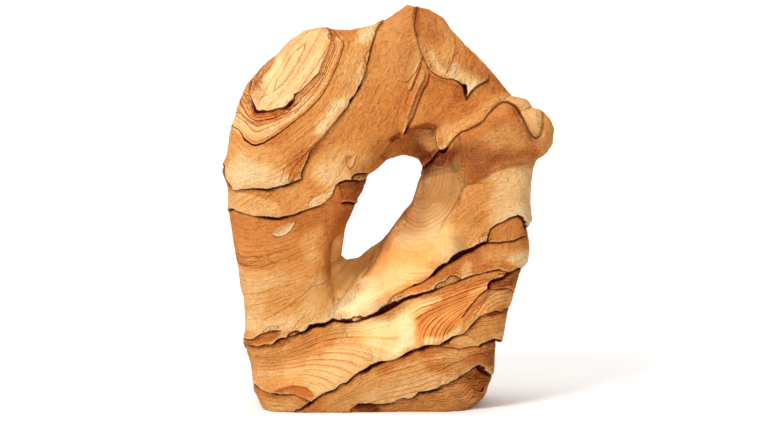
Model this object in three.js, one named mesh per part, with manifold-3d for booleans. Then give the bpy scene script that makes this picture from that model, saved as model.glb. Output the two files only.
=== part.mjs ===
// Sandstone arch: one natural stone of layered sandstone with a hole worn through it.
// Millimetres, +Z up. The front faces -Y and +X is to its right.
// The origin is on the flat underside, below the middle of the arch.
// Outlines, cracks and places on the faces are drawn as an eye in front of the stone
// sees them, and the finished stone is settled to its real shape at the end.

import * as THREE from "three";
import Module from "manifold-3d";
import { mergeVertices } from "three/addons/utils/BufferGeometryUtils.js";

const wasm = await Module();
wasm.setup();

// Driving dimensions, in millimetres

const FRONT_DEPTH = 42; // middle plane to the front face, at mid height
const BACK_DEPTH = 44; // middle plane to the back face, at mid height
const TOP_THINNING = 11; // how much less deep each face is at the apex
const FOOT_THINNING = 4; // and at the foot
const HOLE = { x: -4.5, z: 123, halfLength: 39.5, halfWidth: 16, tilt: 52 };
const ROWS = 24; // points around one section of the ring
const FOOT_HEIGHT = -3; // usual height of the beds above the mean surface, at the foot
const CROWN_HEIGHT = 5; // and from CROWN_LEVEL up
const CROWN_LEVEL = 190;
const SIDE_SHARE = 0.4; // share of a bed's step that also shows on the stone's sides
const CRACK_DEPTH = 5; // bottom of the open cracks, below the beds' usual height
const FAR = 140; // past every side of the stone
const BACK_START = -26; // the cracks run straight in from the front as far as this
const BACK_END = 48;

// The eye that the outlines are drawn for: how far off it is, how many degrees it looks
// down, the point of the drawing that it aims at, where that point really is, and how
// much larger than drawn the stone is.
const EYE = { away: 1127.5, fall: 3, drawnX: -4.6, drawnZ: 121.3, realX: -4.7, realZ: 119.7, scale: 1.025 };

// How the ring's section changes around the hole: a usual value, and what is added
// near some headings. A heading is in degrees, seen from the hole's middle: 0 is right,
// 90 is up. Each addition is [heading, width, amount].
// A corner number of 2 is a round edge, 5 a nearly square one and 1 a straight slope.
const FRONT_THROAT_CORNER = {
  usual: 4.2,
  added: [
    [-15, 55, -2.9], // scooped inner wall of the right leg
    [-112, 32, -2.7], // sloping floor of the hole
    [175, 45, 2], // sharp inner edge of the left leg
    [70, 26, -2], // hollow under the beam
  ],
};
const BACK_THROAT_CORNER = { usual: 2.8, added: [[-100, 50, 1.2], [60, 40, -0.8]] };
const EDGE_CORNER = { usual: 5.5, added: [[90, 45, -1.5]] };
// How far behind the middle plane the hole is narrowest
const THROAT_DEPTH = { usual: 0, added: [[-10, 55, 10], [-115, 38, 24], [185, 45, -4]] };

// Outline of the whole stone seen from the front, anticlockwise from the apex.
// Points below zero are cut off by the flat underside.
const OUTLINE = [
  [12, 249.5], [3, 243], [-8, 236.5], [-22, 232.5], [-40, 233.5], [-50, 232],
  [-58, 226.5], [-66, 217], [-75, 211], [-84, 201], [-90, 185], [-95, 171],
  [-96.5, 157], [-100.5, 148], [-97, 138], [-97, 124], [-94, 105], [-90, 85],
  [-86, 63], [-85.5, 50], [-87, 43], [-83, 30], [-81.5, 19], [-83, 15],
  [-79, 6], [-73, -5], [-58, -24], [-30, -26], [0, -26], [26, -26],
  [43, -13], [52, 2], [60, 9.5], [64, 22], [65, 27], [69.5, 42],
  [66, 45], [71.5, 49], [75, 64], [79, 77], [82, 88], [86, 92],
  [87, 100], [85.5, 113], [88.5, 118], [87, 128], [89, 150], [91, 155.5],
  [96, 158], [101, 164], [102, 173], [99.5, 179.5], [95, 184.7], [88.5, 186],
  [85, 191.5], [76, 193.5], [68, 203.5], [57, 214.5], [50, 222], [38, 233],
  [33, 240], [24, 245.7], [18, 247],
];

// Narrowest outline of the hole, anticlockwise from its top
const THROAT = [
  [10, 158], [0, 155], [-8, 148], [-13, 145], [-14, 137], [-20, 127],
  [-25, 117], [-28.5, 103], [-30, 94], [-26, 90], [-18, 91.5], [-11, 98],
  [-3, 103.5], [4, 113.5], [10, 122], [15, 127], [19, 141], [21.5, 150],
  [19, 155.5],
];

// Cracks between the beds, from left to right across the front.
// Each one rises by its lift on its way to the back of the stone, and stands open
// by its gap on either side. A negative gap is a closed crack, with only a step.
const CRACKS = {
  main: {
    gap: 0.8,
    lift: -9,
    line: [
      [-FAR, 40], [-87, 43], [-70, 42], [-50, 49.5], [-34, 56.5], [-15, 57], [0, 64],
      [16, 71], [38, 78], [60, 85.5], [84, 87.5], [FAR, 93],
    ],
  },
  upperRight: {
    gap: 0.6,
    lift: 5,
    line: [
      [0, 64], [13, 75.5], [28, 84], [40, 93.5], [55, 102.5], [62, 110], [70, 116],
      [80, 120], [86, 113], [FAR, 118],
    ],
  },
  middle: {
    gap: 0.8,
    lift: 7,
    line: [
      [-66, -60], [-57, 0], [-43, 8], [-25, 17.5], [-10, 28], [5, 32], [20, 38],
      [36, 43], [50, 51], [61, 60], [75, 64], [FAR, 72],
    ],
  },
  lower: {
    gap: -0.3,
    lift: 3,
    line: [
      [-44, -60], [-22, 0], [-15, 4], [3, 4], [16, 7.5], [34, 16],
      [50, 22.5], [58, 27], [66, 22], [FAR, 8],
    ],
  },
  leftFoot: {
    gap: -0.3,
    lift: 3,
    line: [[-FAR, 18], [-82, 16], [-72, 11], [-57, 9.5], [-46, 5]],
  },
  cap: {
    gap: 0.7,
    lift: -7,
    line: [
      [-FAR, 126], [-96, 124], [-80, 120], [-62, 119.5], [-44, 125.5], [-34, 134],
      [-31, 140.5], [-18, 141.5], [-11, 146], [8, 140], [33, 161], [38, 163], [50, 172.5],
      [63, 182.5], [72, 188], [80, 181], [89, 167.5], [93, 176], [97, 194], [FAR, 215],
    ],
  },
};

// How far each bed stands out of the mean surface
const BED = {
  rightFoot: -4.2, lowerBand: -2, leftFoot: -3, middleBand: -0.2,
  wedge: 1.2, legs: 2.4, cap: 4.2,
};

// Sheets that lie on the beds: outline on one face, height, and where they end in depth
const SHEETS = [
  {
    // Upper left sheet, with the scalloped lower edge
    height: 6.6, from: -90, to: 14,
    edge: [
      [-4.5, 234], [-9, 224], [-13, 211], [-18, 198], [-25, 186], [-35, 174],
      [-48, 158.5], [-51, 150], [-53, 143.5], [-68, 137.5], [-91, 136.5],
      [-97, 147], [-FAR, 152], [-FAR, 270], [-4, 270],
    ],
  },
  {
    // Ring of thin layers around the lens
    height: 7.6, from: -90, to: 2,
    edge: [
      [-90, 182], [-84, 180], [-75, 176], [-65, 180.5], [-53, 189], [-42, 202],
      [-36, 216], [-35, 250], [-60, 250], [-110, 215], [-110, 182],
    ],
  },
  {
    // Pale lens in the middle of the rings
    height: 8.8, from: -90, to: -4,
    edge: [
      [-76, 183], [-66, 184.5], [-56, 193], [-46, 203], [-41, 214], [-43, 240],
      [-56, 233], [-68, 214], [-77, 200], [-80, 190],
    ],
  },
  {
    // Upper right sheet, with its hanging tip
    height: 6.4, from: -90, to: 6,
    edge: [
      [16.5, 262], [16.5, 240], [19, 226], [22, 217], [26, 209.5], [35, 205], [44, 202],
      [49, 198], [50, 190.5], [55, 198], [60.5, 203], [56, 211], [47, 221.5], [40, 231],
      [46, 262],
    ],
  },
  {
    // Sheet on the back of the right shoulder
    height: 6.6, from: 4, to: 90,
    edge: [
      [6, 186], [22, 176], [42, 158], [58, 150], [74, 136], [FAR, 128],
      [FAR, 230], [70, 240], [44, 222], [20, 208],
    ],
  },
  {
    // Sheet on the back of the left leg
    height: 4.6, from: 0, to: 90,
    edge: [[-FAR, 66], [-84, 70], [-66, 64], [-52, 74], [-46, 90], [-58, 104], [-80, 108], [-FAR, 104]],
  },
];

// Small hollows: centre and half-axes
const HOLLOWS = [
  { at: [-63, -46, 113], half: [8, 4, 5.5] }, // chip on the left leg
  { at: [57, -44, 19], half: [9, 9, 5] }, // dark recess at the right foot
  { at: [-23, -40, 152], half: [4, 5, 5] }, // pocket beside the hole
  { at: [30, 50, 62], half: [14, 7, 9] }, // scallop low on the back
];

// Broad swellings (+) and dips (-) of a face: place, radius and rise
const FRONT_RELIEF = [
  { x: -62, z: 186, radius: 42, rise: 4 },
  { x: -8, z: 205, radius: 26, rise: -3.5 },
  { x: 34, z: 186, radius: 20, rise: -5 },
  { x: 72, z: 168, radius: 26, rise: 5 },
  { x: 38, z: 228, radius: 18, rise: 3 },
  { x: -62, z: 96, radius: 34, rise: 2.5 },
  { x: 66, z: 126, radius: 24, rise: -3 },
  { x: 40, z: 60, radius: 34, rise: 2.5 },
  { x: -30, z: 30, radius: 38, rise: 2 },
  { x: -16, z: 82, radius: 15, rise: -6 },
  { x: 20, z: 166, radius: 11, rise: -6 },
];
const BACK_RELIEF = [
  { x: -40, z: 200, radius: 40, rise: 5 },
  { x: 46, z: 196, radius: 30, rise: -4 },
  { x: 62, z: 120, radius: 30, rise: 5 },
  { x: -58, z: 120, radius: 30, rise: -5 },
  { x: -20, z: 50, radius: 44, rise: 6 },
  { x: 44, z: 40, radius: 30, rise: -4 },
];

const { degToRad: radians, radToDeg: degrees, lerp, smoothstep } = THREE.MathUtils;

// Value of the section at a heading around the hole, given in radians
function valueAt({ usual, added }, angle) {
  let value = usual;
  for (const [heading, width, amount] of added) {
    const away = THREE.MathUtils.euclideanModulo(degrees(angle) - heading + 180, 360) - 180;
    value += amount * Math.exp(-((away / width) ** 2));
  }
  return value;
}

// Point where the ray at an angle from the hole's centre meets a closed outline
function rayMeets(outline, angle) {
  const dir = [Math.cos(angle), Math.sin(angle)];
  for (let i = 0; i < outline.length; i++) {
    const a = [outline[i][0] - HOLE.x, outline[i][1] - HOLE.z];
    const next = outline[(i + 1) % outline.length];
    const b = [next[0] - HOLE.x, next[1] - HOLE.z];
    const sideA = dir[0] * a[1] - dir[1] * a[0];
    const sideB = dir[0] * b[1] - dir[1] * b[0];
    if (sideA > 0 || sideB < 0) continue;
    const t = sideB === sideA ? 0 : -sideA / (sideB - sideA);
    const x = lerp(a[0], b[0], t);
    const z = lerp(a[1], b[1], t);
    if (x * dir[0] + z * dir[1] > 0) return [x + HOLE.x, z + HOLE.z];
  }
  throw new Error("outline is not closed around the hole");
}

// Depth of a face from the middle plane at a place on it
function faceDepth(base, relief, x, z) {
  let depth = base - TOP_THINNING * smoothstep(z, 130, 250) - FOOT_THINNING * smoothstep(60 - z, 0, 70);
  for (const swell of relief) {
    const away = ((x - swell.x) ** 2 + (z - swell.z) ** 2) / swell.radius ** 2;
    depth += swell.rise * Math.exp(-away);
  }
  return depth;
}

// Small uneven swellings of the whole surface
function unevenness(x, y, z) {
  return (
    0.9 * Math.sin(x / 9 + 1.3 * Math.sin(z / 17)) * Math.cos(y / 12 + z / 21) +
    0.7 * Math.sin(z / 7.5 + x / 23 + 2) * Math.sin(y / 15 + 0.7)
  );
}

// The mean surface is a ring: at each turn around the hole, a squarish loop runs
// from the throat over the front to the outer edge and home over the back.
function meanPoint(turn, around) {
  const tilt = radians(HOLE.tilt);
  const swing = turn - tilt;
  const inner = tilt + Math.atan2(HOLE.halfWidth * Math.sin(swing), HOLE.halfLength * Math.cos(swing));
  const throat = rayMeets(THROAT, inner);
  const edge = rayMeets(OUTLINE, turn);
  const across = Math.cos(around);
  const deep = Math.sin(around);
  const throatCorner = valueAt(deep > 0 ? FRONT_THROAT_CORNER : BACK_THROAT_CORNER, inner);
  const corner = lerp(valueAt(EDGE_CORNER, turn), throatCorner, (1 + across) / 2);
  const reach = (Math.abs(across) ** corner + Math.abs(deep) ** corner) ** (-1 / corner);
  const share = 0.5 - 0.5 * across * reach;
  const x = lerp(throat[0], edge[0], share);
  const z = lerp(throat[1], edge[1], share);
  const middle = valueAt(THROAT_DEPTH, inner) * (1 - share);
  const face =
    deep > 0 ? -faceDepth(FRONT_DEPTH, FRONT_RELIEF, x, z) : faceDepth(BACK_DEPTH, BACK_RELIEF, x, z);
  return new THREE.Vector3(x, lerp(middle, face, Math.abs(deep * reach)), z);
}

// Grid of the mean surface, with the outward direction at each point
const turns = OUTLINE.map(([x, z]) => Math.atan2(z - HOLE.z, x - HOLE.x));
const columns = turns.length;
const meanPoints = turns.map((turn) =>
  Array.from({ length: ROWS }, (_, j) => meanPoint(turn, (2 * Math.PI * j) / ROWS)),
);
const outward = meanPoints.map((row, i) =>
  row.map((_, j) => {
    const along = meanPoints[(i + 1) % columns][j].clone().sub(meanPoints[(i + columns - 1) % columns][j]);
    const around = row[(j + 1) % ROWS].clone().sub(row[(j + ROWS - 1) % ROWS]);
    return around.cross(along).normalize();
  }),
);

// Closed three.js mesh to solid
function solidOf(geometry) {
  const bare = geometry.index ? geometry : mergeVertices(geometry, 1e-4);
  return new wasm.Manifold(
    new wasm.Mesh({
      numProp: 3,
      vertProperties: new Float32Array(bare.attributes.position.array),
      triVerts: new Uint32Array(bare.index.array),
    }),
  );
}

// Usual height of the beds: the upper ones stand further out than the lower ones
function usualHeight(z) {
  return lerp(FOOT_HEIGHT, CROWN_HEIGHT, smoothstep(z, 0, CROWN_LEVEL));
}

// The whole stone, with its faces moved out to a height. Its sides move less,
// and only by what the height differs from the usual one.
function wholeStone(heightAt) {
  const positions = [];
  const faces = [];
  meanPoints.forEach((row, i) =>
    row.forEach((point, j) => {
      const out = outward[i][j];
      const facing = Math.abs(out.y);
      const height = heightAt(point.z);
      const sideStep = SIDE_SHARE * (height - usualHeight(point.z));
      const rise = lerp(sideStep, height, facing) + unevenness(point.x, point.y, point.z);
      const moved = point.clone().addScaledVector(out, rise);
      positions.push(moved.x, moved.y, moved.z);
      const nextRow = ((i + 1) % columns) * ROWS;
      const nextPoint = (j + 1) % ROWS;
      const here = i * ROWS + j;
      const right = nextRow + j;
      const up = i * ROWS + nextPoint;
      const corner = nextRow + nextPoint;
      faces.push(here, corner, right, here, up, corner);
    }),
  );
  const geometry = new THREE.BufferGeometry();
  geometry.setAttribute("position", new THREE.Float32BufferAttribute(positions, 3));
  geometry.setIndex(faces);
  return solidOf(geometry);
}

// Straight-sided block between two depths whose outline may shift on its way back.
// Each outline point is [x, z, rise at the back].
function block(outline, from, to) {
  const depths = [from, BACK_START, (BACK_START + BACK_END) / 2, BACK_END, to];
  const levels = depths.filter((y, i) => y >= from && y <= to && depths.indexOf(y) === i);
  const positions = [];
  const faces = [];
  const flat = outline.map(([x, z]) => new THREE.Vector2(x, z));
  if (THREE.ShapeUtils.area(flat) < 0) {
    outline = [...outline].reverse();
    flat.reverse();
  }
  const count = outline.length;
  for (const y of levels) {
    const share = smoothstep(y, BACK_START, BACK_END);
    for (const [x, z, rise = 0] of outline) positions.push(x, y, z + rise * share);
  }
  for (let level = 0; level + 1 < levels.length; level++) {
    for (let i = 0; i < count; i++) {
      const a = level * count + i;
      const b = level * count + ((i + 1) % count);
      faces.push(a, b + count, b, a, a + count, b + count);
    }
  }
  const last = (levels.length - 1) * count;
  const backFlat = outline.map(([x, z, rise = 0]) => new THREE.Vector2(x, z + rise));
  const frontCap = THREE.ShapeUtils.triangulateShape(flat, []);
  const backCap = THREE.ShapeUtils.triangulateShape(backFlat, []);
  for (const [a, b, c] of frontCap) faces.push(a, b, c);
  for (const [a, b, c] of backCap) faces.push(last + a, last + c, last + b);
  const geometry = new THREE.BufferGeometry();
  geometry.setAttribute("position", new THREE.Float32BufferAttribute(positions, 3));
  geometry.setIndex(faces);
  return solidOf(geometry);
}

// A crack's line as one side of a bed: above it (+1) or below it (-1)
function side(name, direction, keep = () => true) {
  const { line, lift, gap } = CRACKS[name];
  return line.filter(keep).map(([x, z]) => [x, z + direction * gap, lift]);
}

// One bed: the stone at the bed's height, between its two cracks
function bed(height, upper, lower) {
  return wholeStone(() => height).intersect(block([...upper, ...lower.reverse()], -FAR, FAR));
}

// Moves a point from where the eye sees it to its real place: along the line of sight
// to the point's own depth. Behind the middle plane, the move stays the same.
function settle(point) {
  const cos = Math.cos(radians(EYE.fall));
  const sin = Math.sin(radians(EYE.fall));
  const x = (point[0] - EYE.drawnX) * EYE.scale;
  const z = (point[2] - EYE.drawnZ) * EYE.scale;
  const share = (Math.min(point[1], 0) + EYE.away * cos) / (EYE.away * cos + z * sin);
  point[0] = EYE.realX + x * share;
  point[2] = EYE.realZ + EYE.away * sin + share * (z * cos - EYE.away * sin);
}

const top = [[-FAR, 270], [FAR, 270]];
const leftOfMiddle = ([x]) => x < -50;
const rightOfSplit = ([x]) => x > 0;

const underLegs = [...side("main", 1, ([x]) => x <= 0), ...side("upperRight", 1, rightOfSplit)];
const beds = [
  bed(BED.cap, top, side("cap", 1)),
  bed(BED.legs, side("cap", -1), underLegs),
  bed(BED.wedge, side("upperRight", -1), side("main", 1, rightOfSplit)),
  bed(BED.middleBand, side("main", -1), [...side("leftFoot", 1), ...side("middle", 1, ([x]) => x > -43)]),
  bed(BED.leftFoot, side("leftFoot", -1), [[-FAR, -70], [-66, -70], ...side("middle", 1, leftOfMiddle)]),
  bed(BED.lowerBand, side("middle", -1), side("lower", 1)),
  bed(BED.rightFoot, side("lower", -1), [[-44, -70], [FAR, -70]]),
];
const sheets = SHEETS.map(({ height, from, to, edge }) =>
  wholeStone(() => height).intersect(block(edge, from, to)),
);
const hollows = HOLLOWS.map(({ at, half }) => {
  const ball = new THREE.SphereGeometry(1, 14, 10).scale(...half).translate(...at);
  ball.deleteAttribute("normal");
  ball.deleteAttribute("uv");
  return solidOf(mergeVertices(ball, 1e-4));
});

let stone = wholeStone((z) => usualHeight(z) - CRACK_DEPTH);
for (const piece of [...beds, ...sheets]) stone = stone.add(piece);
for (const hollow of hollows) stone = stone.subtract(hollow);
stone = stone.warp(settle);
stone = stone.intersect(block([[-FAR, 0], [FAR, 0], [FAR, 270], [-FAR, 270]], -FAR, FAR));

// Solid to three.js mesh
function geometryOf(solid) {
  const { numProp, vertProperties, triVerts } = solid.getMesh();
  const positions = new Float32Array((vertProperties.length / numProp) * 3);
  for (let i = 0; i < positions.length / 3; i++) {
    positions.set(vertProperties.subarray(i * numProp, i * numProp + 3), i * 3);
  }
  const geometry = new THREE.BufferGeometry();
  geometry.setAttribute("position", new THREE.BufferAttribute(positions, 3));
  geometry.setIndex(new THREE.BufferAttribute(new Uint32Array(triVerts), 1));
  geometry.computeVertexNormals();
  return geometry;
}

const sandstone = new THREE.MeshStandardMaterial({ color: 0xd08a48, roughness: 0.92, metalness: 0 });
const archStone = new THREE.Mesh(geometryOf(stone), sandstone);
archStone.name = "sandstone_arch";

const arch = new THREE.Group();
arch.add(archStone);
export default arch;
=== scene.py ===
import functools
import math

import bpy
import numpy as np
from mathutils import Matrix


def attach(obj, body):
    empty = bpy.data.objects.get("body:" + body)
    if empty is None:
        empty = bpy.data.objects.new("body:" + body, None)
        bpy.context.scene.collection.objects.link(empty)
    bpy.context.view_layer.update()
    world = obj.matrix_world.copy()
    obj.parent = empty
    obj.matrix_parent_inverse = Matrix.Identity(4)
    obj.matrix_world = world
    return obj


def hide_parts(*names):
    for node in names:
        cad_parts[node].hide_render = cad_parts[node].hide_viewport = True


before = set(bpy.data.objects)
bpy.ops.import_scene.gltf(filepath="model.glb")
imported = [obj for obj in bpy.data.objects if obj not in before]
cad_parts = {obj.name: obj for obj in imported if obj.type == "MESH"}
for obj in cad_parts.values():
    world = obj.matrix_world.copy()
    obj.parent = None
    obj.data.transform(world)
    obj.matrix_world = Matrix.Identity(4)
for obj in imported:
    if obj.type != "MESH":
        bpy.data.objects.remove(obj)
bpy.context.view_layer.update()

# The stone is worked out in millimetres and put into its mesh in metres.
MM = 0.001

# The stone's outline and lines are given as an eye sees them from this far in front of
# the middle plane and this much above it; settled() puts each point at its own depth.
EYE_AWAY = 1127.5
EYE_RISE = math.radians(3)
SEEN_SCALE = 1.025
SEEN_MIDDLE_X, SEEN_MIDDLE_Z = -4.6, 121.3
AIM_X, AIM_Z = -4.7, 119.7

# Mean surface of the stone, as the solid has it: how far each face lies from the middle
# plane, and how much less that is at the top and at the foot
FRONT_DEPTH = 42.0
BACK_DEPTH = 44.0
TOP_THINNING = 11.0
TOP_THINS_BETWEEN = (130, 250)
FOOT_THINNING = 4.0
FOOT_THINS_BELOW, FOOT_THINS_OVER = 60, 70
# Middle of the hole, half its length and width, and how steeply it leans
HOLE_X, HOLE_Z = -4.5, 123.0
HOLE_HALF_LENGTH, HOLE_HALF_WIDTH, HOLE_TILT = 39.5, 16.0, math.radians(52)
# Usual height of the beds at the foot and from the crown's level up
FOOT_HEIGHT, CROWN_HEIGHT, CROWN_LEVEL = -3.0, 5.0, 190.0
# Share of the beds' steps, of the relief and of the cracks' depth that the sides have
SIDE_STEP, SIDE_RELIEF, SIDE_CRACKS = 0.4, 0.5, 0.6
# Past the stone, for lines that run off it
FAR = 140.0

# Corner numbers of the section, and depth of the throat's middle: usual value, then
# (heading, width, amount) additions
FRONT_THROAT_CORNER = (4.2, [(-15, 55, -2.9), (-112, 32, -2.7), (175, 45, 2.0), (70, 26, -2.0)])
BACK_THROAT_CORNER = (2.8, [(-100, 50, 1.2), (60, 40, -0.8)])
EDGE_CORNER = (5.5, [(90, 45, -1.5)])
THROAT_DEPTH = (0.0, [(-10, 55, 10.0), (-115, 38, 24.0), (185, 45, -4.0)])

# Outer edge of the stone and narrowest edge of its hole
OUTLINE = [
    (12, 249.5), (3, 243), (-8, 236.5), (-22, 232.5), (-40, 233.5), (-50, 232),
    (-58, 226.5), (-66, 217), (-75, 211), (-84, 201), (-90, 185), (-95, 171),
    (-96.5, 157), (-100.5, 148), (-97, 138), (-97, 124), (-94, 105), (-90, 85),
    (-86, 63), (-85.5, 50), (-87, 43), (-83, 30), (-81.5, 19), (-83, 15),
    (-79, 6), (-73, -5), (-58, -24), (-30, -26), (0, -26), (26, -26),
    (43, -13), (52, 2), (60, 9.5), (64, 22), (65, 27), (69.5, 42),
    (66, 45), (71.5, 49), (75, 64), (79, 77), (82, 88), (86, 92),
    (87, 100), (85.5, 113), (88.5, 118), (87, 128), (89, 150), (91, 155.5),
    (96, 158), (101, 164), (102, 173), (99.5, 179.5), (95, 184.7), (88.5, 186),
    (85, 191.5), (76, 193.5), (68, 203.5), (57, 214.5), (50, 222), (38, 233),
    (33, 240), (24, 245.7), (18, 247),
]
THROAT = [
    (10, 158), (0, 155), (-8, 148), (-13, 145), (-14, 137), (-20, 127),
    (-25, 117), (-28.5, 103), (-30, 94), (-26, 90), (-18, 91.5), (-11, 98),
    (-3, 103.5), (4, 113.5), (10, 122), (15, 127), (19, 141), (21.5, 150),
    (19, 155.5),
]

# Broad swellings and dips of each face: x, z, radius, rise
FRONT_RELIEF = [
    (-62, 186, 42, 4.0), (-8, 205, 26, -3.5), (34, 186, 20, -5.0), (72, 168, 26, 5.0),
    (38, 228, 18, 3.0), (-62, 96, 34, 2.5), (66, 126, 24, -3.0), (40, 60, 34, 2.5),
    (-30, 30, 38, 2.0),
]
BACK_RELIEF = [
    (-40, 200, 40, 5.0), (46, 196, 30, -4.0), (62, 120, 30, 5.0), (-58, 120, 30, -5.0),
    (-20, 50, 44, 6.0), (44, 40, 30, -4.0),
]

# Cracks that part the beds, from left to right: how far each one rises on its way to
# the back, then its points (x, z, half its opening). Where no opening is given it runs
# evenly between its neighbours.
BED_CRACKS = {
    "main": (-9.0, [
        (-FAR, 40, 0.4), (-86.5, 42.5, 0.5), (-84, 41.3), (-78, 41, 0.4), (-75, 42), (-70, 42, 0.45),
        (-66, 45, 0.7), (-60, 46, 0.45), (-55, 48), (-50, 49.5, 0.6), (-47, 52.5, 1.0), (-43, 53.5, 0.9),
        (-39, 53.5, 1.1), (-34, 56.5, 0.8), (-30, 56, 0.6), (-24, 56, 0.8), (-20, 55.3, 0.3),
        (-15, 57, 0.5), (-10, 59, 0.6), (-5, 61, 0.9), (0, 64, 1.7), (5, 66.5, 1.4), (7, 66.8, 0.7),
        (10, 69, 1.1), (16, 71, 0.8), (22, 72.5, 0.55), (28, 74.5, 0.5), (38, 78, 0.35), (45, 80.5),
        (52, 83.5, 0.4), (60, 85.5, 0.35), (67, 87, 0.5), (72, 86, 0.35), (76, 85.5, 0.3), (84, 88, 0.4),
        (FAR, 93, 0.4),
    ]),
    "wedge_top": (5.0, [
        (-6, 61, -0.6), (0, 65.8, 0.0), (5, 71, 0.1), (13, 75.8, 0.2), (16, 77.7, 0.4), (20, 78.7, 0.35),
        (24, 81, 0.35), (28, 84.3, 0.7), (31, 87.7, 1.3), (34, 90, 1.2), (37, 91, 0.6), (40, 93.5, 1.3),
        (45, 97, 1.7), (50, 99, 1.5), (54, 101.2, 1.4), (58, 103, 0.9), (61, 104, 0.6), (61.5, 107),
        (63, 112, 0.4), (66, 114.3), (70, 115.8, 0.35), (75, 119), (79.5, 120.3, 0.8), (82.5, 118.3, 0.8),
        (85, 113, 0.8), (86.5, 110, 0.5), (95, 109), (FAR, 114, 0.4),
    ]),
    "middle": (7.0, [
        (-66, -60, 0.4), (-57, 0, 0.5), (-53, 0.5), (-50, 2.5, 0.6), (-46.5, 4.5), (-43, 8), (-40, 10),
        (-36, 11.5, 0.45), (-32, 13.5), (-29, 16.5, 0.5), (-25, 17.5), (-21, 21.5, 0.5), (-18, 23.5),
        (-12, 26, 0.9), (-10, 28), (-5, 29.5, 0.8), (0, 31, 0.6), (5, 32, 0.5), (10, 34, 0.8),
        (15, 36.5, 1.0), (20, 38, 1.3), (24, 39.5, 1.1), (28, 40.3, 0.5), (32, 40.5, 0.4), (36, 43, 0.9),
        (40, 45.5, 0.6), (43, 46.5, 0.35), (46, 47), (50, 51, 0.5), (54, 55, 0.4), (57, 58),
        (61, 60, 0.35), (67, 61.5, 0.5), (70, 61), (75, 64, 0.6), (FAR, 72, 0.4),
    ]),
    "lower": (3.0, [
        (-44, -60, 0.4), (-22, 1, 0.4), (-18, 3.6, 0.6), (-12, 4, 0.7), (-7, 3.6, 0.6), (3, 3.8, 0.5),
        (6, 6, 0.4), (10, 7.5, 0.6), (13, 6.5, 0.5), (16, 7.5, 0.5), (20, 11, 0.7), (25, 11.7, 0.9),
        (31, 13.5, 0.6), (34, 16, 0.6), (38, 16.5, 0.5), (42, 18.5, 0.5), (46, 21, 0.5), (50, 22.5, 0.5),
        (54, 25.5, 0.8), (58, 26.3, 2.0), (61, 24.5, 2.2), (64, 22, 1.2), (FAR, 8, 0.4),
    ]),
    "left_foot": (3.0, [
        (-FAR, 19, 0.4), (-82, 17, 0.5), (-79, 14, 0.9), (-77, 12.5, 0.6), (-72, 11, 0.35),
        (-69, 10.3, 0.6), (-65, 10, 0.5), (-57, 9.5, 0.3), (-51, 7.5, 0.25), (-46, 4.5, 0.2),
    ]),
    "cap": (-7.0, [
        (-FAR, 126, 0.4), (-96, 124, 0.9), (-93, 124.2, 0.5), (-86, 121.5, 0.4), (-80, 120, 0.6),
        (-72, 119, 0.7), (-67, 118.5, 0.7), (-62, 119.5, 0.6), (-57, 120.5, 0.4), (-50, 124, 0.35),
        (-44, 125.5, 0.4), (-40, 127.5, 0.3), (-36, 131), (-34, 134), (-32, 139, 0.3), (-30, 140.5, 0.5),
        (-27, 141.5), (-20, 142.5, 0.5), (-18, 141), (-11, 144, 0.8), (8, 140), (20, 149), (31, 160, 0.8),
        (35, 159.5, 1.6), (38, 163, 0.22), (42, 168, 0.16), (46, 171), (50, 172.5, 0.16), (55, 174.5),
        (60, 178.5, 0.16), (63, 182.5), (66, 186), (70, 188, 0.15), (74, 187.5), (77, 185.5, 0.4),
        (80, 181, 0.35), (83, 176, 0.16), (86, 170), (89, 167.5, 0.2), (91.5, 169), (92.5, 175, 0.15),
        (93.3, 181), (95, 188, 0.15), (FAR, 215, 0.3),
    ]),
}
# How far each bed stands out of the mean surface
BED_HEIGHT = {
    "right_foot": -4.2, "lower_band": -2.0, "left_foot": -3.0, "middle_band": -0.2,
    "wedge": 1.2, "legs": 2.4, "cap": 4.2,
}

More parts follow.
